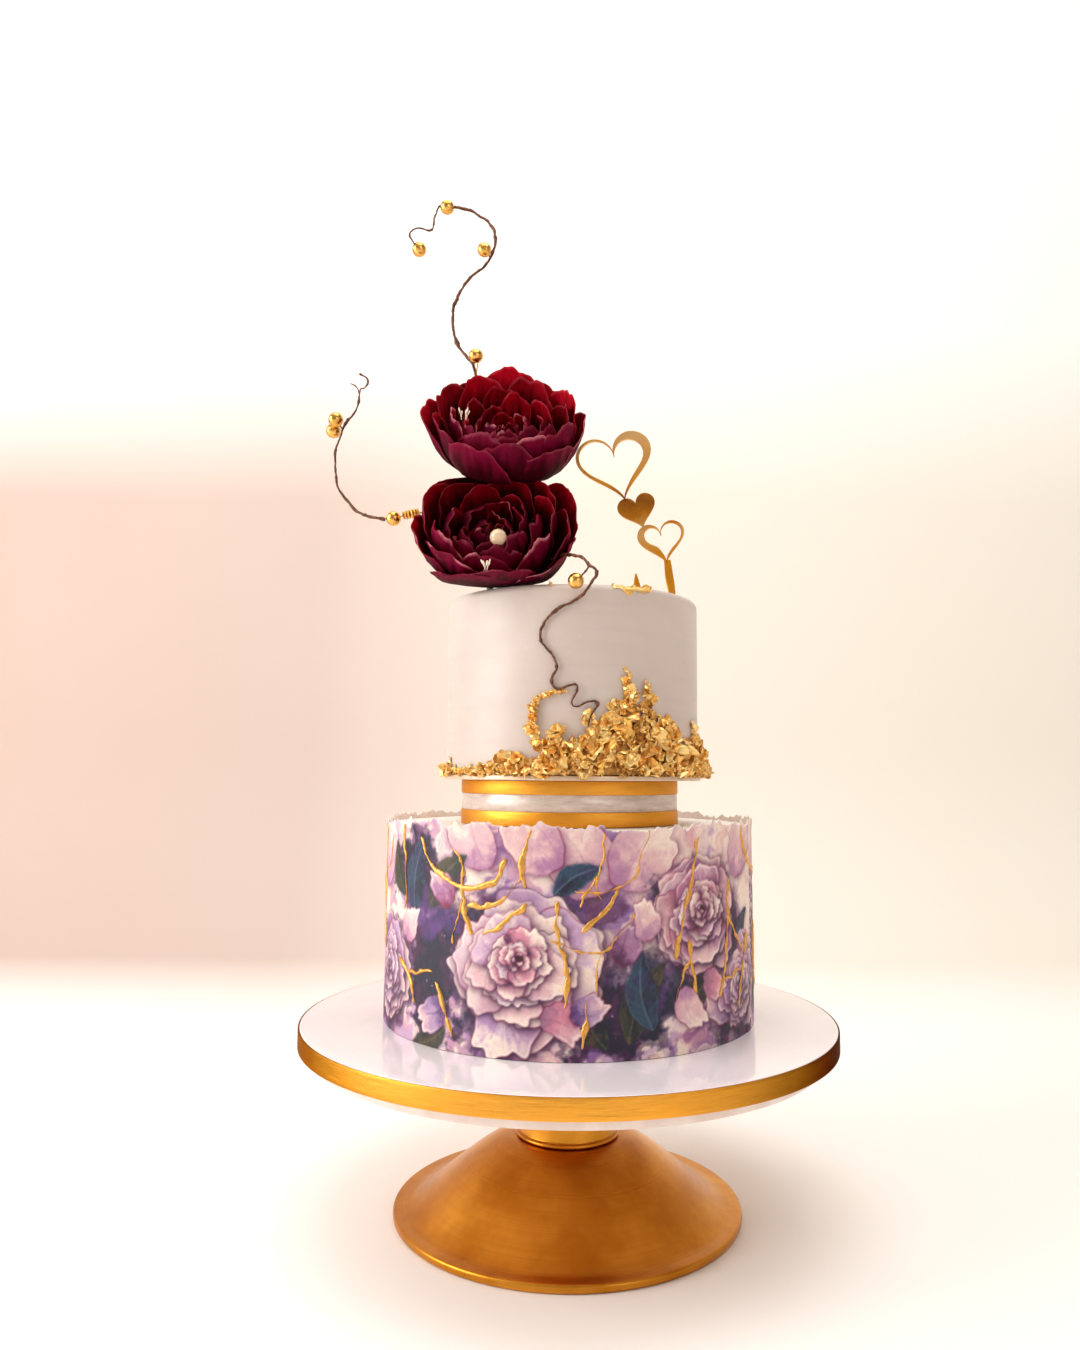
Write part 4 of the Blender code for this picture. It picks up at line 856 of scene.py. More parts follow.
def silk_petal(rng, R, deep, lift, top, rim, half, flare, roll, lean, ruf, az, nu, nv, bright=1.0, fray_glint=0.5):
    """One thin closed petal that wraps its part of the bowl, in its flower's own millimetres with the axis up.

    Its profile runs from the base out to radius R and up to the rim; the outline is round, the edge ruffled."""
    s, t = np.meshgrid(np.linspace(0, 1, nu), np.linspace(-1, 1, nv), indexing="ij")
    ph = rng.random(10) * TAU
    notch = 0.020 * np.sin(3.1 * t + ph[0]) + 0.014 * np.sin(8 * t + ph[1]) + 0.040 * np.exp(-((t - 0.35 * math.sin(ph[2])) / 0.10) ** 2)
    u = s * (1 - 0.30 * np.abs(t) ** 2.3 - (notch + 0.004 * np.sin(27 * t + ph[3]) + 0.002 * np.sin(61 * t + ph[5])) * s ** 3)
    pts = [(2.0, -deep + lift), (R * 0.92, -deep * 0.97 + lift * 0.6), (R * 1.13, -deep * 0.36 + top * 0.4), (R * rim, top)]
    q, w = 1 - u, u
    r = q ** 3 * pts[0][0] + 3 * q * q * w * pts[1][0] + 3 * q * w * w * pts[2][0] + w ** 3 * pts[3][0]
    z = q ** 3 * pts[0][1] + 3 * q * q * w * pts[1][1] + 3 * q * w * w * pts[2][1] + w ** 3 * pts[3][1]
    up = z + deep
    r = r + lean * up
    tip = sst(0.72, 1.02, u)
    r, z = r + flare * tip ** 1.4, z - 0.22 * abs(flare) * tip ** 2
    ang = half * t * (0.80 + 0.20 * sst(0.0, 0.5, s)) * (1 - 0.10 * sst(0.75, 1.0, s))
    side = sst(0.15, 0.75, s)
    r = r - roll * t * t * side + 1.3 * t * side * math.copysign(1.0, math.sin(ph[4]))
    amp = ruf * (0.10 + 0.90 * s ** 2.4) * (0.40 + 0.60 * np.abs(t))
    r = r + amp * (np.sin(4.6 * t + ph[5] + 1.5 * s) + 0.55 * np.sin(9.7 * t + ph[6] - 2 * s) + 0.22 * np.sin(19 * t + ph[7]))
    z = z + amp * 0.6 * (np.sin(5.3 * t + ph[8]) + 0.5 * np.sin(11 * t + ph[9]))
    fold = 1 - np.abs(vnoise(t * R * half / 4.6 + ph[2], s * 1.4 + ph[3], 6) - 0.5) * 4
    r = r + 0.38 * s * fold + 0.5 * (fbm(s * 5 + ph[7], t * R * half / 7, int(ph[0] * 7), 3) - 0.5) * 2
    r = np.maximum(r, 0.6)
    P = np.stack([r * np.cos(ang), r * np.sin(ang), z], -1)
    N = np.cross(np.gradient(P, axis=0), np.gradient(P, axis=1))
    N /= np.maximum(1e-9, np.linalg.norm(N, axis=-1))[..., None]
    want = np.stack([-np.cos(ang), -np.sin(ang), 0.6 + 0 * ang], -1)
    N *= np.sign(np.sum(N * want, -1, keepdims=True) + 1e-9)
    thick = 0.17
    inner, outer = P + N * thick, P - N * thick
    ca, sa = math.cos(az), math.sin(az)
    V = np.concatenate([inner.reshape(-1, 3), outer.reshape(-1, 3)])
    V = np.stack([V[:, 0] * ca - V[:, 1] * sa, V[:, 0] * sa + V[:, 1] * ca, V[:, 2]], -1)
    m = nu * nv
    F = grid_faces(nu, nv, flip=True) + grid_faces(nu, nv, off=m)
    edge = [i * nv for i in range(nu)] + [(nu - 1) * nv + j for j in range(1, nv)] + \
           [i * nv + nv - 1 for i in range(nu - 2, -1, -1)] + [j for j in range(nv - 2, 0, -1)]
    for i, j in zip(edge, edge[1:] + edge[:1]):
        F.append((i, j, j + m, i + m))
    streak = vnoise(t * 9 + ph[0], s * 1.2 + ph[1], 2) * 0.6 + vnoise(t * 23 + ph[2], s * 2.0, 3) * 0.4
    g = np.clip(s * 1.02 + 0.34 * (streak - 0.5), 0, 1)[..., None]
    # painted shade: near black at each petal's base, inside and out, fading to the dyed colour towards the rim
    ci = INSIDE[0] + (INSIDE[1] - INSIDE[0]) * sst(0.12, 0.60, g)
    ci = (ci + (INSIDE[2] - ci) * sst(0.58, 1.0, g)) * bright
    co = OUTSIDE[0] + (OUTSIDE[1] - OUTSIDE[0]) * sst(0.1, 0.7, g)
    co = (co + (OUTSIDE[2] - co) * sst(0.65, 1.0, g)) * (0.50 + 0.5 * bright)
    # pale pink at parts of the hem: frayed fibres together with a painted highlight where light catches the cut edges
    hem = np.maximum(sst(0.985, 1.0, s), sst(0.985, 1.0, np.abs(t)) * sst(0.35, 0.6, s))
    gate = sst(0.50, 0.72, vnoise(t * 5 + ph[3], s * 5 + ph[4], 5))
    e = (hem * (0.06 + fray_glint * gate))[..., None]
    ci, co = ci + (PINK - ci) * e * 0.7, co + (PINK - co) * e * 0.8
    grain = np.stack([t * R * half / 3.4 + ph[0] * 9, s * 2.2 + ph[1] * 9, 0 * s + ph[2] * 9], -1).reshape(-1, 3)
    return V, F, np.concatenate([ci.reshape(-1, 3), co.reshape(-1, 3)]), np.concatenate([grain, grain])


UP_C, LOW_C = Vector((-39.8, -41.0, 487.5)), Vector((-46.5, -64.0, 415.0))
SPLIT_AT, SPLIT_N = np.array((-47.0, -40.0, 441.0)), np.array((0.0, -0.42, 0.91))
SPLIT_N = SPLIT_N / np.linalg.norm(SPLIT_N)


def peony(name, centre, elev, turn, deep, rings, extra, seed, sign, soft, front, back):
    """A double peony: bowls of petals one inside the other round an axis that leans towards the front."""
    rng = np.random.default_rng(seed)
    M = np.array(Matrix.Translation(centre) @ Matrix.Rotation(math.radians(turn), 4, "Z")
                 @ Matrix.Rotation(math.radians(90 - elev), 4, "X"))
    jobs = []
    for k, (n, R, top, rim, half, flare, roll, ruf, nu, nv, a0) in enumerate(rings):
        for j in range(n):
            az = math.radians(a0) + TAU * (j + 0.34 * (rng.random() - 0.5)) / n
            rise = back * max(0.0, math.sin(az)) - front * max(0.0, -math.sin(az))
            jobs.append((k, j, R * (0.96 + 0.09 * rng.random()), top + rise * (1 - 0.10 * k) + 5.0 * (rng.random() - 0.5), rim, half * (0.88 + 0.24 * rng.random()),
                         flare * (0.2 + 1.5 * rng.random()), roll * (0.3 + 1.3 * rng.random()), 0.10 * (rng.random() - 0.5), ruf, az, nu, nv,
                         0.62 + 0.66 * rng.random(), (0.15, 0.9)[int(rng.random() < 0.35)]))
    jobs += extra
    Vs, Fs, Cs, Gs, base = [], [], [], [], 0
    for i, (k, j, R, top, rim, half, flare, roll, lean, ruf, az, nu, nv, bright, fray_glint) in enumerate(jobs):
        V, F, C, G = silk_petal(rng, R, deep, 1.1 * k + 0.3 * (j % 2), top, rim, math.radians(half), flare, roll, lean, ruf, az, nu, nv, bright, fray_glint)
        V = V @ M[:3, :3].T + M[:3, 3]
        d = (V - SPLIT_AT) @ SPLIT_N * sign + 3.4 - 0.10 * (i * 7 % 9)
        V = V + (np.where(d < soft, soft * np.exp((np.minimum(d, soft) - soft) / soft), d) - d)[:, None] * SPLIT_N * sign
        d = V[:, 2] - T2_TOP - 0.35
        V[:, 2] += np.where(d < 7, 7 * np.exp((np.minimum(d, 7) - 7) / 7), d) - d
        Vs.append(V)
        Fs += [tuple(i + base for i in f) for f in F]
        Cs.append(C)
        Gs.append(G)
        base += len(V)
    V, C = np.concatenate(Vs), np.concatenate(Cs)
    ob = make(name, V * MM, Fs, m_silk)
    at = ob.data.color_attributes.new("dye", "FLOAT_COLOR", "POINT")
    at.data.foreach_set("color", np.concatenate([C, np.ones((len(C), 1))], 1).reshape(-1))
    ob.data.attributes.new("grain", "FLOAT_VECTOR", "POINT").data.foreach_set("vector", np.concatenate(Gs).reshape(-1))
    return ob


#            n   R  top   rim half flare roll ruf nu  nv start
UP_RINGS = [(6, 43.5, -5, 1.03, 38, 3.0, 2.0, 1.1, 24, 32, 0), (6, 41.5, 1, 0.99, 37, 2.5, 3.0, 1.3, 24, 32, 28),
            (6, 37.5, 0, 0.95, 36, 1.0, 4.0, 1.6, 22, 28, 5), (6, 31.0, -3, 0.90, 37, -1.0, 4.0, 1.8, 20, 24, 36),
            (6, 24.0, -6, 0.84, 40, -2.0, 3.5, 1.9, 20, 24, 10), (5, 17.0, -9, 0.74, 44, -2.5, 3.0, 1.8, 18, 22, 50),
            (5, 10.5, -13, 0.62, 50, -2.0, 2.0, 1.4, 14, 16, 20)]
LOW_RINGS = [(6, 45.0, -5, 1.00, 36, 3.0, 2.0, 1.1, 24, 32, 14), (6, 43.0, 0, 0.99, 36, 2.0, 3.0, 1.3, 24, 32, 44),
             (6, 37.0, 0, 0.93, 36, 0.0, 4.0, 1.6, 22, 28, 20), (6, 30.0, -3, 0.88, 37, -2.0, 4.0, 1.8, 20, 24, 50),
             (6, 22.5, -6, 0.80, 40, -3.0, 3.5, 1.9, 20, 24, 25), (5, 15.0, -8, 0.66, 44, -3.0, 3.0, 1.8, 18, 22, 0),
             (4, 9.0, -11, 0.50, 52, -1.0, 2.0, 1.2, 14, 16, 40)]
put(peony("peony_high", UP_C, 43, 3, 47.0, UP_RINGS, [], 211, 1.0, 4.0, 2.0, 5.0), "crimson_silk", "peony_upper")
put(peony("peony_near", LOW_C, 27, 3, 45.0, LOW_RINGS, [], 318, -1.0, 6.0, -2.5, -3.0), "crimson_silk", "peony_lower")


def tube(verts, faces, pts, rad, n=8, bumps=0.0, seed=0, cap=True):
    """Adds a round tube along points (mm) with its radius at each one, to lists of points and faces."""
    pts, rad = np.array(pts, float), np.array(rad, float)
    rng = np.random.default_rng(seed)
    tan = np.gradient(pts, axis=0)
    tan /= np.maximum(1e-9, np.linalg.norm(tan, axis=1))[:, None]
    ref = np.array((0.31, -0.9, 0.3))
    nrm = np.cross(tan[0], ref)
    nrm /= np.linalg.norm(nrm)
    base, k0 = len(verts), rng.random() * 90
    for i in range(len(pts)):
        nrm = nrm - tan[i] * nrm.dot(tan[i])
        nrm /= np.linalg.norm(nrm)
        bi = np.cross(tan[i], nrm)
        for j in range(n):
            a = TAU * j / n
            k = 1 + bumps * (float(fbm(np.array([i * 0.55 + k0]), np.array([j * 0.9 + k0]), 2, 2)[0]) - 0.45) * 2 if bumps else 1.0
            verts.append(tuple((pts[i] + rad[i] * k * (nrm * math.cos(a) + bi * math.sin(a))) * MM))
    m = len(pts)
    for i in range(m - 1):
        for j in range(n):
            a, b = base + i * n + j, base + i * n + (j + 1) % n
            faces.append((a, b, b + n, a + n))
    if cap:
        faces.append(tuple(base + j for j in range(n))[::-1])
        faces.append(tuple(base + (m - 1) * n + j for j in range(n)))


def catmull(pts, step):
    return smooth_path(pts, step)


# little cream stamens standing in each flower
sr = np.random.default_rng(41)
verts, faces = [], []
for (cx, cy, cz), up, count in (((-65.6, -55.0, 474.5), (0.05, -0.45, 0.9), 6), ((-48.6, -84.0, 376.5), (0.02, -0.5, 0.86), 6)):
    for i in range(count):
        d = np.array(up) + np.array([0.9 * (sr.random() - 0.5), 0.3 * (sr.random() - 0.5), 0.1 * sr.random()])
        d /= np.linalg.norm(d)
        b = np.array((cx, cy, cz)) + np.array([3.5 * (sr.random() - 0.5), 1.5 * (sr.random() - 0.5), 0])
        ln = 5.0 + 2.2 * sr.random()
        bend = np.array([0.8 * (sr.random() - 0.5), 0, 0])
        pts = [b + d * ln * t + bend * t * t for t in np.linspace(0, 1, 8)]
        tube(verts, faces, pts, [0.13, 0.14, 0.14, 0.16, 0.22, 0.42, 0.48, 0.22], 7)
put(make("stamens", verts, faces, m_stamen), "pearl")

# -------------------------------------------------------------- gold flakes
m_leaf = Mat("leaf_gold", Metallic=0.78, Roughness=0.36)
v = m_leaf.coords()
age = m_leaf.noise(v, 130.0, 4.0, 0.6)
fine = m_leaf.noise(v, 700.0, 5.0, 0.65)
lc = m_leaf.n("VertexColor", layer_name="tone").outputs[0]
m_leaf.link(m_leaf.mix(m_leaf.val(age, 0.0, 0.6, 0.4, 0.7), lc, (0.98, 0.78, 0.46), "MULTIPLY"), "Base_Color")
m_leaf.link(m_leaf.val(fine, 0.28, 0.48), "Roughness")
m_leaf.link(m_leaf.bump(fine, 0.14, 0.0003), "Normal")
# painted shade: the bank under the flakes is dark gold so the gaps between flakes read as shade
m_core_shade = Mat("leaf_core_shade", Metallic=0.8, Roughness=0.5)
m_core_shade.link(m_core_shade.ramp(m_core_shade.noise(m_core_shade.coords(), 260.0, 4.0), (0.35, (0.22, 0.09, 0.018)), (0.65, (0.50, 0.25, 0.06))), "Base_Color")

PEAKS = [(-13.6, 279, 5), (-7.5, 291, 8), (6.4, 296, 9), (14.6, 305, 9), (22.3, 324, 8.5), (31.6, 312, 15), (41, 299, 20),
         (52, 287, 24), (64.3, 293, 11), (76, 281, 30)]
LEFTS = [(-27, 276, 13), (-68, 271, 8), (-45, 268, 10)]
BACKS = [(150, 270, 20), (205, 269, 25)]
HEAP_Z = DISC_Z1 + 0.45


def crest(deg, base, peaks):
    z = np.full(np.shape(deg), float(base))
    for at, top, half in peaks:
        z = np.maximum(z, base + (top - base) * (1 - np.abs(deg - at) / half))
    return z


def flakes(name, spots, seed, slot, *nodes):
    """Crumpled leaves of gold as one mesh: each spot is (angle, height, stand-off, half size, lean)."""
    r = np.random.default_rng(seed)
    n = 8
    a, b = np.meshgrid(np.linspace(-1, 1, n), np.linspace(-1, 1, n), indexing="ij")
    quad = grid_faces(n, n) + grid_faces(n, n, off=n * n, flip=True)
    rim = [i * n for i in range(n)] + [(n - 1) * n + j for j in range(1, n)] + [i * n + n - 1 for i in range(n - 2, -1, -1)] + \
          [j for j in range(n - 2, 0, -1)]
    for p, q in zip(rim, rim[1:] + rim[:1]):
        quad.append((q, p, p + n * n, q + n * n))
    quad = np.array(quad)
    V, F, C = [], [], []
    for k, (deg, z, off, size, lean) in enumerate(spots):
        ph = r.random(6) * 90
        asp = 0.45 + 0.55 * r.random()
        u, w = a * (1 - 0.30 * b * b), b * (1 - 0.30 * a * a)
        x = u * (1 + 0.5 * (vnoise(b * 1.4 + ph[0], a * 0.8 + 3, 1) - 0.5)) + 0.22 * (vnoise(a * 2 + ph[1], b * 2, 2) - 0.5)
        y = (w * (1 + 0.5 * (vnoise(a * 1.4 + ph[2], b * 0.8, 3) - 0.5)) + 0.22 * (vnoise(a * 2 + ph[3], b * 2, 4) - 0.5)) * asp
        ridge = 1 - 2 * np.abs(vnoise(a * 0.95 + ph[4], b * 0.95 + ph[5], 5) - 0.5) * 2
        h = 0.50 * (ridge - 0.5) + 0.16 * (vnoise(a * 2.2 + ph[0], b * 2.2 + ph[1], 6) - 0.5)
        bend = (0.25 + 0.95 * r.random()) * (1 if r.random() < 0.7 else -1)
        sx = np.sin(x * bend) / bend
        h = h + (1 - np.cos(x * bend)) / bend
        P = np.stack([sx, y, h], -1) * size
        N = np.cross(np.gradient(P, axis=0), np.gradient(P, axis=1))
        N /= np.maximum(1e-9, np.linalg.norm(N, axis=-1))[..., None]
        P = np.concatenate([(P + N * 0.07).reshape(-1, 3), (P - N * 0.07).reshape(-1, 3)])
        rad = math.radians(deg)
        outv = np.array([math.sin(rad), -math.cos(rad), 0.0])
        nrm = outv + lean * (r.normal(size=3) * np.array([1, 1, 0.8])) + np.array([0, 0, 0.25])
        nrm /= np.linalg.norm(nrm)
        tx = np.cross(nrm, r.normal(size=3))
        tx /= np.linalg.norm(tx)
        ty = np.cross(nrm, tx)
        at = np.array([T2_X / MM, AXIS_Y / MM, z]) + outv * (T2_R + off)
        P = at + P[:, :1] * tx + P[:, 1:2] * ty + P[:, 2:3] * nrm
        d = P[:, :2] - np.array([T2_X / MM, AXIS_Y / MM])
        rr = np.linalg.norm(d, axis=1)
        lim = np.where(P[:, 2] > T2_TOP - 4.2, T2_R - 4.2 + np.sqrt(np.maximum(0, 4.2 ** 2 - np.clip(P[:, 2] - T2_TOP + 4.2, 0, 4.2) ** 2)), T2_R) + 0.25
        inside = (rr < lim) & (P[:, 2] < T2_TOP + 0.1)
        soft = lim + 0.12 * (1 + np.sin(np.arange(len(P)) * 1.7))
        P[:, :2] = np.where(inside[:, None], P[:, :2] + d / rr[:, None] * (soft - rr)[:, None], P[:, :2])
        P[:, 2] = np.where((P[:, 2] < HEAP_Z) & (rr < DISC_R + 0.3), HEAP_Z + 0.10 * (1 + np.sin(np.arange(len(P)) * 2.3)), P[:, 2])
        tone = 0.92 + 0.14 * r.random()
        base = np.array((1.0, 0.69, 0.27)) if r.random() < 0.8 else np.array((1.0, 0.58, 0.15))
        V.append(P)
        F.append(quad + k * 2 * n * n)
        C.append(np.tile(np.append(np.clip(base * tone, 0, 1), 1.0), (2 * n * n, 1)))
    ob = make(name, np.concatenate(V) * MM, np.concatenate(F), m_leaf)
    ob.data.color_attributes.new("tone", "FLOAT_COLOR", "POINT").data.foreach_set("color", np.concatenate(C).reshape(-1))
    ob.data.set_sharp_from_angle(angle=math.radians(75))
    return put(ob, slot, *nodes)


def heap(count, d0, d1, base, peaks, thick, small, big, seed, lean=0.85):
    r = np.random.default_rng(seed)
    out = []
    while len(out) < count:
        d = d0 + (d1 - d0) * r.random()
        z = HEAP_Z + 66 * r.random()
        top = float(crest(np.array(d), base, peaks))
        size = small + (big - small) * r.random() ** 1.3
        if z > top - 0.22 * size:
            continue
        k = (z - HEAP_Z) / max(1.0, top - HEAP_Z)
        if top - z < 9 and top > base + 16:
            size = min(size, small * 1.25)
        off = 0.6 + (thick - 2.6) * (1 - k ** 1.5) * (0.30 + 0.70 * r.random())
        out.append((d, z + 0.3 * size * (k < 0.15), off, size, lean))
    return out


main = heap(400, -15.0, 111.5, 273.5, PEAKS, 8.6, 2.9, 6.6, 3)
main += [(22.3 + 1.2 * math.sin(i), 306 + 17.5 * i / 11, 1.2, 2.6 - 0.12 * i, 0.7) for i in range(12)]
hr = np.random.default_rng(31)
over = []
for i in range(84):
    over.append((-72 + 172 * (i + 0.8 * hr.random()) / 84, HEAP_Z + 0.9 + 1.5 * (hr.random() - 0.5), DISC_R - T2_R - 0.1 + 0.7 * hr.random(), 1.5 + 1.5 * hr.random(), 0.7))
main += [o for o in over if o[0] > -15]
left = heap(135, -107.5, -16.2, 265.8, LEFTS, 5.6, 2.0, 4.2, 4, 0.8)
left += [(-27 + 1.5 * math.cos(i * 2.4) * 3.2, 269.5 + 3.6 * math.sin(i * 2.4) * 0.8, 2.6, 4.6, 0.45) for i in range(9)]
left += [o for o in over if o[0] <= -15]
back = heap(175, 112.8, 251.2, 266.4, BACKS, 4.3, 2.1, 4.2, 5, 0.8)
curl_route = smooth_path([(-16.6, 286), (-16.9, 296), (-15.6, 303), (-11.5, 307), (-7.5, 308.6), (-4.0, 310.0)], 0.2)
cr = np.random.default_rng(9)
curl = []
for i in range(52):
    k = i / 51
    p = curl_route[int(k * (len(curl_route) - 1))]
    curl.append((p[0] + 1.5 * (1 - 0.6 * k) * (cr.random() - 0.5) * 2, p[1] + 2.6 * (1 - 0.6 * k) * (cr.random() - 0.5), 1.0 + 2.2 * (1 - k) * cr.random(),
                 3.0 - 1.7 * k + 0.5 * cr.random(), 0.8))
for d, z in ((-15.6, 281), (-14.8, 277), (-9.2, 287), (-7.2, 289), (-6.2, 286), (-8.0, 284)):
    curl.append((d, z, 1.8, 3.4, 0.6))
for d, z in ((6.2, 296), (4.8, 293.5), (8.0, 292), (16.0, 303), (31.5, 313), (30.0, 309), (34, 306), (64.5, 292), (66, 288), (24.5, 309)):
    main.append((d, z, 1.7, 3.9, 0.5))
er = np.random.default_rng(12)
edge = []
for i in range(17):
    d = 16.5 + 17 * i / 16
    s = math.sin(math.pi * i / 16)
    edge.append((d + er.random(), T2_TOP - 0.6 - 2.8 * er.random() * s, -2.0 - 3.0 * er.random(), 1.5 + 1.6 * er.random(), 1.0))
edge += [(-10.6, T2_TOP + 0.5, -3.0, 1.6, 0.8), (-9.8, T2_TOP - 0.4, -1.0, 1.3, 0.8)]
flakes("gold_flakes_right", main, 21, "leaf_gold", "flakes_main")
flakes("gold_flakes_left", left, 22, "leaf_gold", "flakes_left")
flakes("gold_flakes_rear", back, 23, "leaf_gold", "flakes_back")
flakes("gold_flakes_curl", curl, 24, "leaf_gold", "flakes_curl")
flakes("gold_flakes_edge", edge, 25, "leaf_gold", "flakes_edge")


def heap_core(name, d0, d1, base, peaks, thick, n=150):
    """What the flakes lie on: a lower bank that follows their outline inside it, coloured dark gold as painted shade in
    the gaps between the flakes.
    """
    verts, faces = [], []
    rows = 7
    for i in range(n + 1):
        d = d0 + (d1 - d0) * i / n
        end = min(1.0, 6 * i / n, 6 * (n - i) / n)
        top = HEAP_Z + max(1.2, (float(crest(np.array(d), base, peaks)) - HEAP_Z - 4.0) * 0.90) * (0.4 + 0.6 * end)
        a = math.radians(d)
        ring = []
        for j in range(rows):
            k = j / (rows - 1)
            z = HEAP_Z + (top - HEAP_Z) * k
            wob = 0.7 * (float(vnoise(np.array(d / 2.1), np.array(z / 3.0), 3)) - 0.5)
            ring.append((T2_R + 0.25 + max(0.25, (thick * 0.52 * (1 - k ** 1.6) + wob) * (0.3 + 0.7 * end)), z))
        ring += [(T2_R + 0.12, top), (T2_R + 0.12, HEAP_Z)]
        for rr, z in ring:
            verts.append((T2_X + rr * MM * math.sin(a), AXIS_Y - rr * MM * math.cos(a), z * MM))
    m = rows + 2
    for i in range(n):
        for j in range(m):
            p, q = i * m + j, i * m + (j + 1) % m
            faces.append((p, p + m, q + m, q))
    faces.append(tuple(range(m)))
    faces.append(tuple(n * m + j for j in range(m))[::-1])
    return put(make(name, verts, faces, m_core_shade), "leaf_gold")


heap_core("flake_bank_right", -14.5, 111, 272, PEAKS, 8)
heap_core("flake_bank_left", -107, -16.5, 265.5, LEFTS, 5)
heap_core("flake_bank_rear", 113, 251, 266, BACKS, 4)

# ---------------------------------------------------------- twigs and beads
m_bark = Mat("twig_bark", Roughness=0.62, Specular_IOR_Level=0.4)
v = m_bark.coords()
m_bark.link(m_bark.ramp(m_bark.noise(v, 420.0, 5.0, 0.65), (0.30, lin(58, 32, 20)), (0.52, lin(104, 60, 38)), (0.74, lin(160, 108, 72))), "Base_Color")
m_bark.link(m_bark.bump(m_bark.noise(v, 1300.0, 4.0, 0.6), 0.5, 0.0004), "Normal")


def on_side(deg, z, off):
    a = math.radians(deg)
    return (T2_X / MM + (T2_R + off) * math.sin(a), AXIS_Y / MM - (T2_R + off) * math.cos(a), z)


def twig(name, pts, r0, r1, nodes, seed, extra=()):
    """An uneven bark-covered twig with small knots; extra are side shoots as (points, start radius, end radius)."""
    verts, faces = [], []
    r = np.random.default_rng(seed)
    for k, (p, a, b) in enumerate([(pts, r0, r1)] + list(extra)):
        line = catmull(p, 0.9)
        s = np.linspace(0, 1, len(line))
        ph = r.random(3) * 60
        w = np.stack([fbm(s * len(line) / 7 + ph[i], s * 0 + i, 3, 3) - 0.5 for i in range(3)], -1) * 0.75
        line = line + w * np.clip(np.minimum(s, 1 - s) * 8, 0, 1)[:, None]
        rad = (a + (b - a) * s ** 0.8) * (0.86 + 0.34 * fbm(s * len(line) / 4 + ph[0], s * 0 + 4, 5, 3))
        for c in r.random(max(1, len(line) // 22)):
            rad = rad + a * 0.40 * np.exp(-((s - c) * len(line) / 1.2) ** 2)
        tube(verts, faces, line, rad, 9, bumps=0.32, seed=seed + k)
    return put(make(name, verts, faces, m_bark), "brown_twig", *nodes)


TOP = [(-61.0, -8.0, 512), (-62.6, -11.5, 519), (-64.6, -14, 526), (-69.1, -12, 531.7), (-76.1, -9, 543.7), (-78.8, -6, 560.8), (-76, -6, 575.9), (-67.6, -9, 586.8), (-57.2, -13, 593.4),
       (-51.9, -15, 603), (-51.3, -14, 613.1), (-54.4, -11, 622.4), (-62.4, -8, 630.7), (-70.2, -7, 635.4), (-77.9, -8, 636.5), (-80.2, -8.4, 636.3)]
TOP_END = [(-87.0, -9.6, 635.9), (-89.1, -10, 635.4), (-91, -14, 625.7), (-91.3, -18, 617.1), (-93.1, -20, 613.6), (-100.6, -22, 613.5), (-104.9, -22, 611.7),
           (-105.8, -21, 608.5), (-103.9, -19.2, 605.6)]
LEFT = [(-116.9, -26, 420.3), (-128.1, -24, 422.8), (-136.6, -22, 427.7), (-142.8, -21, 434.4), (-148.3, -20, 443.7), (-150.2, -20, 454),
        (-149.9, -21, 464.8), (-147.3, -22, 473.6), (-143.9, -22, 482.8), (-139.4, -20, 490.1), (-137.1, -18, 497.7), (-136.9, -17, 504),
        (-136.3, -17.2, 507.8), (-133.6, -18, 508.2), (-130.9, -19, 511), (-131.9, -20, 514), (-136.2, -21, 516.2)]
FRONT_A = [(-13, -44, 391.5), (-7, -56, 391), (-3, -65, 390), (1.5, -70, 388.6), (5.5, -75, 386.5), (9.4, -81, 380.6), (12.4, -84, 378.3), (13.4, -86, 374.2), (10.4, -85, 369.6),
           (7.9, -82, 366.6)]
FRONT_B = [(1.5, 362.5), (-7, 355.5), (-12.9, 346.5), (-13.7, 340), (-12.1, 335), (-9.6, 331), (-7.6, 327), (-7.2, 322), (-8.8, 317), (-8.4, 312.6),
           (-5.6, 311), (-1.6, 313), (0.9, 313), (1.1, 310), (-0.6, 305), (-0.9, 301.6), (1.2, 300.6), (4.7, 303), (8.2, 304.2), (9.4, 302.4),
           (9.0, 300.2), (7.2, 297.0), (6.0, 293.2), (5.4, 289.5)]
front_pts = [tuple(p) for p in FRONT_A] + [on_side(d, z, 1.25 if i < len(FRONT_B) - 4 else 1.6 + 1.1 * (i - len(FRONT_B) + 4)) for i, (d, z) in enumerate(FRONT_B)]
twig("twig_high", TOP, 0.95, 0.80, ("twig_top",), 51,
     extra=[([(-54.2, -14.6, 598.4), (-55.8, -16.4, 599.6), (-57.0, -17.8, 600.5)], 0.5, 0.35)])
twig("twig_high_end", TOP_END, 0.50, 0.55, ("twig_top_end",), 52,
     extra=[([(-104.2, -19.6, 606.0), (-102.4, -18.6, 603.6), (-100.8, -17.8, 602.4)], 0.45, 0.35)])
twig("twig_side", LEFT, 0.95, 0.42, ("twig_left",), 53,
     extra=[([(-137.0, -17.0, 505.0), (-139.4, -16.2, 509.4), (-143.1, -16, 511.7)], 0.5, 0.22),
            ([(-145.5, -22, 479.0), (-147.6, -25.5, 481.5), (-148.6, -27.6, 483.0)], 0.5, 0.35)])
twig("twig_near", front_pts, 0.95, 0.50, ("twig_front",), 54,
     extra=[([(9.4, -81.2, 380.4), (6.4, -83.0, 375.8), (3.2, -83.0, 372.4)], 0.5, 0.4)])

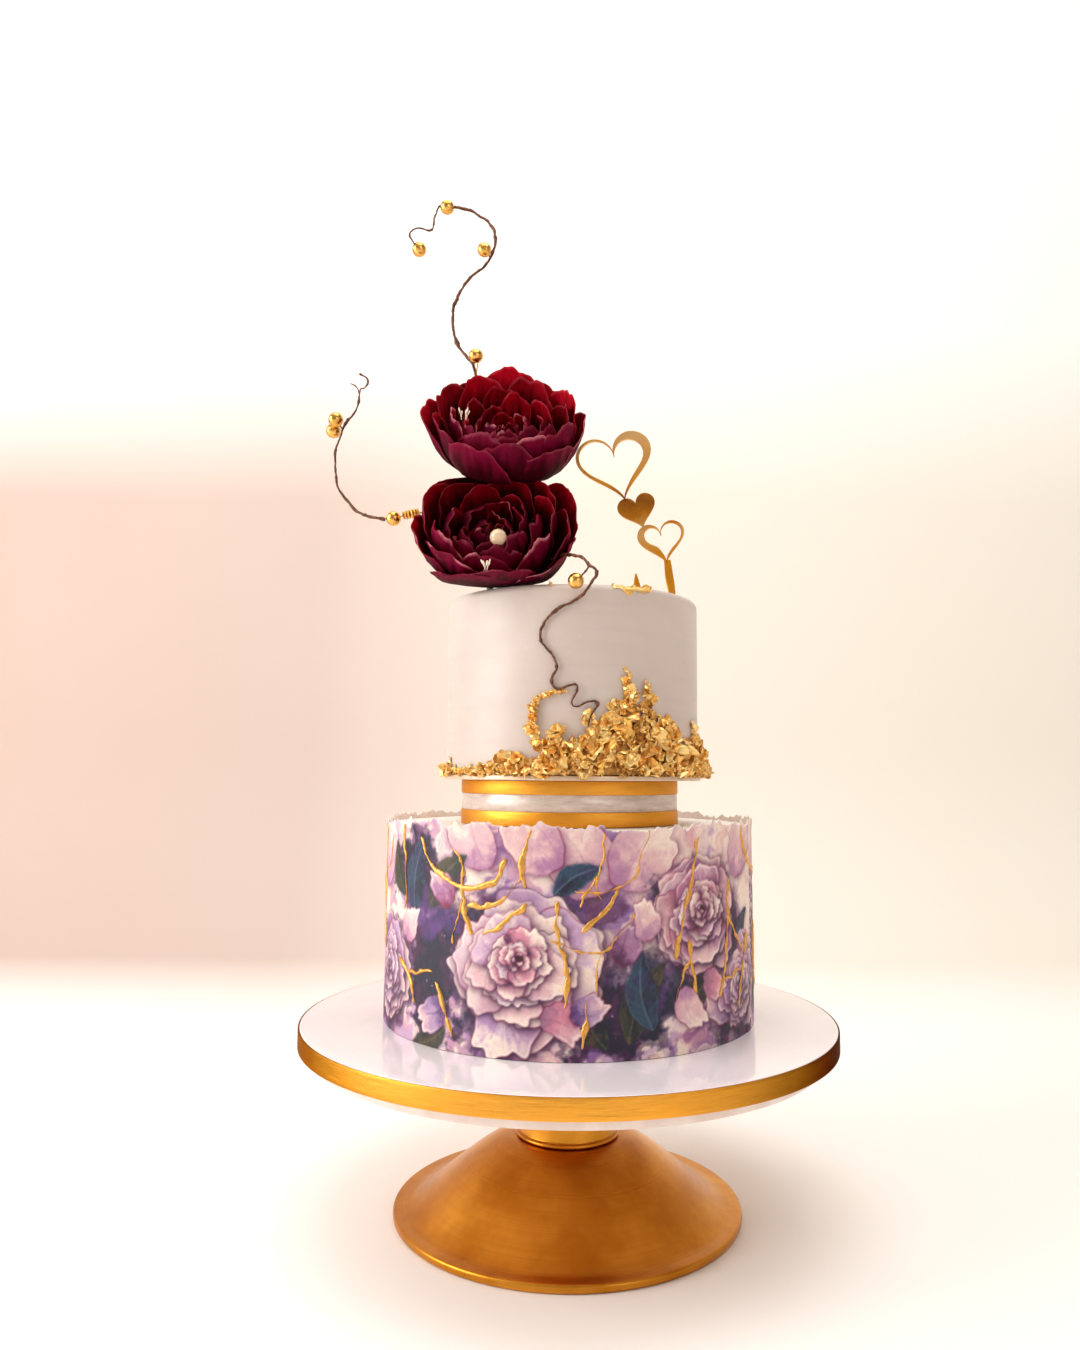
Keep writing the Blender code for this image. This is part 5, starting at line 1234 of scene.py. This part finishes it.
m_bead = Mat("bead_gold", Metallic=1.0, Roughness=0.24)
v = m_bead.coords()
bn = m_bead.noise(v, 110.0, 4.0, 0.5)
m_bead.link(m_bead.mix(m_bead.val(bn, 0, 1, 0.3, 0.7), (0.66, 0.32, 0.06), (0.88, 0.50, 0.14)), "Base_Color")
m_bead.link(m_bead.val(m_bead.noise(v, 700.0, 4.0, 0.6), 0.20, 0.30), "Roughness")
m_bead.link(m_bead.bump(m_bead.noise(v, 500.0, 4.0, 0.6), 0.12, 0.0003), "Normal")


def bead(name, at, axis, r, node, mat, slot, seed):
    """A bead with a small dimple where its stem goes in, and faint wrap lines."""
    prof = [(0, -r * 1.0)]
    for i in range(1, 32):
        a = -90 + 180 * i / 32
        k = 1 + 0.012 * math.sin(math.radians(a) * 14 + seed)
        prof.append((r * k * math.cos(math.radians(a)), r * k * math.sin(math.radians(a))))
    prof += [(0.55, r * 0.93), (0, r * 0.90)]
    ob = lathe(name, prof, 44, mat, wob=0.06, seed=seed, sharp=70)
    q = Vector((0, 0, 1)).rotation_difference(Vector(axis).normalized())
    ob.matrix_world = Matrix.Translation(Vector(at) * MM) @ q.to_matrix().to_4x4()
    return put(ob, slot, node)


BEADS = {"bead_top_high": (-83.5, -9, 635.7), "bead_top_tip": (-100.2, -17.5, 601.7), "bead_top_side": (-57.7, -18.9, 601.0),
         "bead_top_root": (-62.3, -16.5, 530.6), "bead_left": (-111.3, -26, 420.8), "bead_left_pair_high": (-148.8, -28, 483.4),
         "bead_left_pair_low": (-152.1, -19.5, 479.2), "bead_front": (2.0, -82.5, 371.2)}
AXES = {"bead_top_high": (1, 0, 0.1), "bead_top_tip": (-0.6, -0.2, 0.8), "bead_top_side": (0.8, 0.5, -0.4), "bead_top_root": (-0.6, 0.3, 0.3),
        "bead_left": (-1, 0, 0.2), "bead_left_pair_high": (0.4, 0.9, -0.5), "bead_left_pair_low": (0.9, -0.2, 0.2), "bead_front": (0.6, -0.2, 0.8)}
for i, (nm, at) in enumerate(BEADS.items()):
    lo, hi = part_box(nm)
    bead(nm.replace("bead", "gold_ball"), tuple((lo + hi) / 2 / MM), AXES[nm], 4.65, nm, m_bead, "gold_bead", i)
m_pearl = Mat("pearl_lustre", Roughness=0.16, Coat_Weight=0.5, Coat_Roughness=0.08, Subsurface_Weight=0.10, Subsurface_Scale=0.001)
m_pearl.link(m_pearl.ramp(m_pearl.noise(m_pearl.coords(), 120.0, 3.0), (0.3, lin(222, 188, 150)), (0.7, lin(238, 210, 178))), "Base_Color")
lo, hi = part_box("pearl")
bead("pearl_ball", tuple((lo + hi) / 2 / MM), (0.2, -0.6, 0.8), 4.8, "pearl", m_pearl, "pearl", 3)
m_wire = Mat("stem_wire", Metallic=0.9, Roughness=0.35)
m_wire.link(m_wire.ramp(m_wire.noise(m_wire.coords(), 800.0, 3.0), (0.3, (0.42, 0.20, 0.05)), (0.7, (0.70, 0.38, 0.11))), "Base_Color")
verts, faces = [], []
line = catmull([(-95.0, -27.5, 424.2), (-97, -27.5, 423.9), (-101, -27.5, 423.2), (-105.4, -27, 422.3)], 0.24)
s = np.linspace(0, 1, len(line))
tube(verts, faces, line, 2.75 - 0.25 * s + 0.42 * np.sin(s * TAU * 5.5) - 1.2 * (np.abs(s - 0.5) > 0.47), 22)
put(make("ribbed_ball", verts, faces, m_bead), "gold_bead", "bead_ribbed")
verts, faces = [], []
for p in ([(-108.5, -26.4, 421.6), (-106.0, -26.9, 422.2), (-103.5, -27.2, 422.8)], [(-115.2, -26, 420.5), (-118.6, -25.7, 420.6)],
          [(-97.0, -27.5, 423.9), (-94.0, -26.4, 424.4), (-88.0, -20.5, 425.0)],
          [(-62.9, -15.6, 527.6), (-63.6, -13.6, 525.0), (-63.0, -11.6, 519.5)], [(-60.9, -16.4, 526.4), (-61.8, -13.6, 522.6), (-62.5, -11.4, 518.0)],
          [(-150.0, -26.6, 480.8), (-150.8, -24.2, 480.0), (-151.2, -22.0, 479.6)], [(-149.6, -20.9, 476.4), (-148.4, -21.4, 474.2)]):
    tube(verts, faces, catmull(p, 0.8), np.full(len(catmull(p, 0.8)), 0.42), 8)
put(make("bead_wires", verts, faces, m_wire), "gold_bead")

# --------------------------------------------------- taped stems behind the flowers
m_tape = Mat("stem_tape", Roughness=0.7)
v = m_tape.coords()
m_tape.link(m_tape.ramp(m_tape.noise(v, 300.0, 4.0), (0.3, lin(64, 70, 40)), (0.7, lin(98, 104, 62))), "Base_Color")
m_tape.link(m_tape.bump(m_tape.noise(v, 900.0, 4.0), 0.4, 0.0004), "Normal")
# taped stems go from the back of each flower straight down into the tier, with a calyx of short leaves
for nm, pts in (("stem_upper", [(-43.0, -12.0, 461.0), (-43.0, -4.5, 453.5), (-43.0, 4.5, 442.0), (-43.0, 8.0, 424.0), (-43.0, 8.0, T2_TOP + 0.4)]),
                ("stem_lower", [(-47.5, -27.0, 397.5), (-49.0, -18.0, 393.0), (-51.0, -7.5, 387.0), (-52.0, -3.4, 380.0), (-52.0, -3.0, T2_TOP + 0.4)])):
    path = catmull(pts, 1.2)
    verts, faces = [], []
    k = np.arange(len(path))
    tube(verts, faces, path, 2.1 + 0.22 * np.sin(k * 1.9) + 0.9 * np.exp(-k / 3.0), 12)
    tip, way = path[0], path[0] - path[6]
    way = way / np.linalg.norm(way)
    for j in range(5):
        side = np.cross(way, (math.cos(TAU * j / 5 + 0.3), 0.3, math.sin(TAU * j / 5 + 0.3)))
        side /= np.linalg.norm(side)
        tube(verts, faces, [tip - way * 4 + side * 1.0, tip - way * 1 + side * 3.2, tip + way * 3 + side * 7.5, tip + way * 6.5 + side * 11.5], [1.2, 1.7, 1.3, 0.3], 6)
    put(make(nm + "_tape", verts, faces, m_tape), "stem_tape", nm)

# -------------------------------------------------------- flat gold ornament
m_mirror = Mat("gold_mirror", Metallic=0.70, Roughness=0.25)
v = m_mirror.coords()
mn = m_mirror.noise(v, 60.0, 4.0, 0.6)
# painted reflection: the gold is banded by height, light and dark bands standing in for the reflections of a mirror
# finish
fade = m_mirror.n("SeparateXYZ", {"Vector": v}).outputs[2]
tone = m_mirror.ramp(m_mirror.n("Math", {0: m_mirror.val(fade, 0, 1, 0.37, 0.48), 1: m_mirror.val(mn, -0.04, 0.04)}, operation="ADD").outputs[0],
                     (0.0, (0.92, 0.38, 0.02)), (0.28, (0.90, 0.36, 0.02)), (0.42, (1.0, 0.56, 0.18)), (0.50, (0.70, 0.26, 0.015)),
                     (0.60, (0.42, 0.13, 0.01)), (0.70, (0.94, 0.41, 0.04)), (1.0, (1.0, 0.60, 0.24)))
m_mirror.link(tone, "Base_Color")
m_mirror.link(m_mirror.val(m_mirror.noise(v, 45.0, 3.0, 0.5), 0.24, 0.32), "Roughness")
m_mirror.link(m_mirror.bump(m_mirror.noise(v, 16.0, 2.0, 0.5), 0.35, 0.004), "Normal")


def sheet(loops, t, bev=0.3, y=-15.0):
    """Closed sheet shapes with bevelled edges; a loop pair is a ring, a single loop or a loop with "fan" is solid."""
    verts, faces = [], []
    for outer, inner in loops:
        outer = np.array(outer)
        mid = outer.mean(0)

        def shrink(P, d):
            T = np.roll(P, -1, 0) - np.roll(P, 1, 0)
            T /= np.maximum(1e-9, np.linalg.norm(T, axis=1))[:, None]
            Nn = np.stack([T[:, 1], -T[:, 0]], -1)
            area2 = np.sum(P[:, 0] * np.roll(P[:, 1], -1) - np.roll(P[:, 0], -1) * P[:, 1])
            return P - Nn * d * (1 if area2 > 0 else -1)
        prof = [(-t / 2, bev), (-t / 2 + bev, 0.0), (t / 2 - bev, 0.0), (t / 2, bev)]
        m, base = len(outer), len(verts)
        for yy, d in prof:
            for q in shrink(outer, d):
                verts.append((q[0] * MM, (y + yy) * MM, q[1] * MM))
        for k in range(3):
            for i in range(m):
                a, b = base + k * m + i, base + k * m + (i + 1) % m
                faces.append((a, b, b + m, a + m))
        if inner is None:
            faces.append(tuple(base + i for i in range(m))[::-1])
            faces.append(tuple(base + 3 * m + i for i in range(m)))
            continue
        if inner == "fan":
            hub = len(verts)
            verts += [(mid[0] * MM, (y + yy) * MM, mid[1] * MM) for yy in (prof[0][0], prof[-1][0])]
            for i in range(m):
                j = (i + 1) % m
                faces += [(base + j, base + i, hub), (base + 3 * m + i, base + 3 * m + j, hub + 1)]
            continue
        ib = len(verts)
        for yy, d in prof:
            for q in shrink(np.array(inner), -d):
                verts.append((q[0] * MM, (y + yy) * MM, q[1] * MM))
        for k in range(3):
            for i in range(m):
                a, b = ib + k * m + i, ib + k * m + (i + 1) % m
                faces.append((b, a, a + m, b + m))
        for i in range(m):
            j = (i + 1) % m
            faces.append((base + j, base + i, ib + i, ib + j))
            faces.append((base + 3 * m + i, base + 3 * m + j, ib + 3 * m + j, ib + 3 * m + i))
    return verts, faces


def heart_loops(cx, cz, size, tilt, thin, thick, lean, n=128):
    outer, inner = [], []
    ct, st = math.cos(math.radians(tilt)), math.sin(math.radians(tilt))
    for i in range(n):
        t = TAU * (i + 0.5) / n
        x = 16 * math.sin(t) ** 3 / 17.0 * size
        z = (13 * math.cos(t) - 5 * math.cos(2 * t) - 2 * math.cos(3 * t) - math.cos(4 * t)) / 17.0 * size
        outer.append((cx + x * ct - z * st, cz + x * st + z * ct))
        if thin:
            d = math.hypot(x, z)
            k = 1 - min(0.8, (thin + (thick - thin) * max(0.0, math.cos(t - math.radians(lean))) ** 1.5) / max(d, 1e-6))
            inner.append((cx + k * (x * ct - z * st), cz + k * (x * st + z * ct)))
    if thin:
        return outer, inner
    ring = np.array(outer + outer[:1])
    run = np.concatenate([[0.0], np.cumsum(np.linalg.norm(np.diff(ring, axis=0), axis=1))])
    at = np.linspace(0, run[-1], 65)[:-1]
    return [(float(np.interp(a, run, ring[:, 0])), float(np.interp(a, run, ring[:, 1]))) for a in at], "fan"


def strip_loop(rungs):
    r = smooth_path([(x, z, w) for x, z, w in rungs], 1.0)
    return [(x - w / 2, z) for x, z, w in r] + [(x + w / 2, z) for x, z, w in r[::-1]], None


V, F = [], []
for k, lp in enumerate((heart_loops(28, 461, 26, 14, 2.2, 6.5, 60), heart_loops(42, 430.5, 13, 18, 0, 0, 0, 96),
                        heart_loops(57.5, 411, 16, 12, 2.0, 5.0, 250), strip_loop([(60.9, 398.0, 4.2), (62.3, 386, 5.2), (63.6, 378, 4.6), (64.0, 372.1, 4.0)]))):
    v1, f1 = sheet([lp], 2.4 - 0.12 * k)
    F += [tuple(i + len(V) for i in f) for f in f1]
    V += v1
ob = make("gold_hearts", V, F, m_mirror)
ob.data.set_sharp_from_angle(angle=math.radians(30))
put(ob, "gold_mirror", "topper")
V, F = sheet([strip_loop([(42.4, 372.1, 6.5), (42.0, 378, 5.2), (41.4, 384, 3.2), (41.0, 389, 0.8)])], 2.3)
ob = make("gold_tab", V, F, m_mirror)
ob.data.set_sharp_from_angle(angle=math.radians(30))
put(ob, "gold_mirror", "topper_tab")

# ------------------------------------------------------------ floor and light
m_floor = Mat("floor_pale", Roughness=0.6)
v = m_floor.coords()
sep = m_floor.n("SeparateXYZ", {"Vector": v}).outputs
# painted shade on the backdrop: darker and pinker towards -X (left), paler towards +X
across = m_floor.val(sep[0], 0.0, 1.0, -0.75, 0.25)
wall_painted_shade = m_floor.ramp(across, (0.0, lin(196, 172, 160)), (0.42, lin(206, 186, 176)), (0.75, lin(234, 224, 212)), (1.0, lin(236, 229, 219)))
up = m_floor.mix(m_floor.ramp(m_floor.val(sep[2], 0.0, 1.0, 0.0, 1.0), (0.0, (0, 0, 0)), (0.05, (1, 1, 1)), (0.62, (1, 1, 1)), (0.86, (0.15, 0.15, 0.15))),
                 lin(253, 251, 249), wall_painted_shade)
m_floor.link(m_floor.mix(m_floor.val(m_floor.noise(v, 3.0, 2.0), 0.0, 0.03), up, lin(250, 236, 226)), "Base_Color")
CX0, CR = 0.36, 0.30
rows = [(-5.0, 0.0), (CX0, 0.0)] + [(CX0 + CR * math.sin(a), CR * (1 - math.cos(a))) for a in
                                   [math.pi / 2 * i / 16 for i in range(1, 17)]] + [(CX0 + CR, 3.0)]
verts = [(x, y, z - 0.0002) for y, z in rows for x in (-4.0, 4.0)]
sweep = make("floor_sweep", verts, [(2 * i, 2 * i + 1, 2 * i + 3, 2 * i + 2) for i in range(len(rows) - 1)], m_floor)
side = [(3.3, 0.0)] + [(3.3 + 0.65 * math.sin(a), 0.65 * (1 - math.cos(a))) for a in [math.pi / 2 * i / 12 for i in range(1, 13)]] + [(3.95, 3.0)]
verts = [(x, y, z) for x, z in side for y in (-5.0, CX0 + CR)]
bank = make("floor_side", verts, [(2 * i, 2 * i + 2, 2 * i + 3, 2 * i + 1) for i in range(len(side) - 1)], m_floor)


def area(name, at, to, size, power, rgb):
    d = bpy.data.lights.new(name, "AREA")
    d.shape, d.size, d.size_y = "RECTANGLE", size[0], size[1]
    d.energy, d.color = power, rgb
    o = bpy.data.objects.new(name, d)
    o.location = at
    o.rotation_euler = (Vector(to) - Vector(at)).to_track_quat("-Z", "Y").to_euler()
    bpy.context.scene.collection.objects.link(o)
    return o


area("key_left", (-1.55, -0.45, 0.75), (0, 0, 0.32), (1.0, 1.4), 25, (1.0, 0.99, 0.97))
area("fill_front", (1.1, -1.8, 0.8), (0, 0, 0.25), (0.9, 0.9), 6.0, (1.0, 0.95, 0.91))
area("top_soft", (0.1, -0.35, 1.7), (0, 0.1, 0.1), (1.3, 1.0), 10.0, (1.0, 0.96, 0.92))
area("wall_wash", (0.0, -0.1, 2.3), (0, 0.66, 0.7), (2.6, 0.5), 11.5, (1.0, 0.965, 0.93))
w = bpy.data.worlds.new("studio")
bpy.context.scene.world = w
w.use_nodes = True
t = w.node_tree
bg = t.nodes["Background"]
tc = t.nodes.new("ShaderNodeTexCoord")
mp = t.nodes.new("ShaderNodeMapping")
mp.inputs["Rotation"].default_value = (0.0, math.radians(-35.0), math.radians(-18.0))
gr = t.nodes.new("ShaderNodeSeparateXYZ")
rm = t.nodes.new("ShaderNodeValToRGB")
mr = t.nodes.new("ShaderNodeMapRange")
mr.inputs["From Min"].default_value, mr.inputs["From Max"].default_value = 1.0, -1.0
e = rm.color_ramp.elements
e[0].position, e[0].color = 0.30, (0.035, 0.028, 0.022, 1.0)
e[1].position, e[1].color = 0.80, (0.85, 0.76, 0.66, 1.0)
t.links.new(tc.outputs["Generated"], mp.inputs[0])
t.links.new(mp.outputs[0], gr.inputs[0])
t.links.new(gr.outputs[0], mr.inputs["Value"])
t.links.new(mr.outputs[0], rm.inputs[0])
t.links.new(rm.outputs[0], bg.inputs[0])
bg.inputs[1].default_value = 0.48
bpy.context.scene.view_settings.view_transform = "Standard"
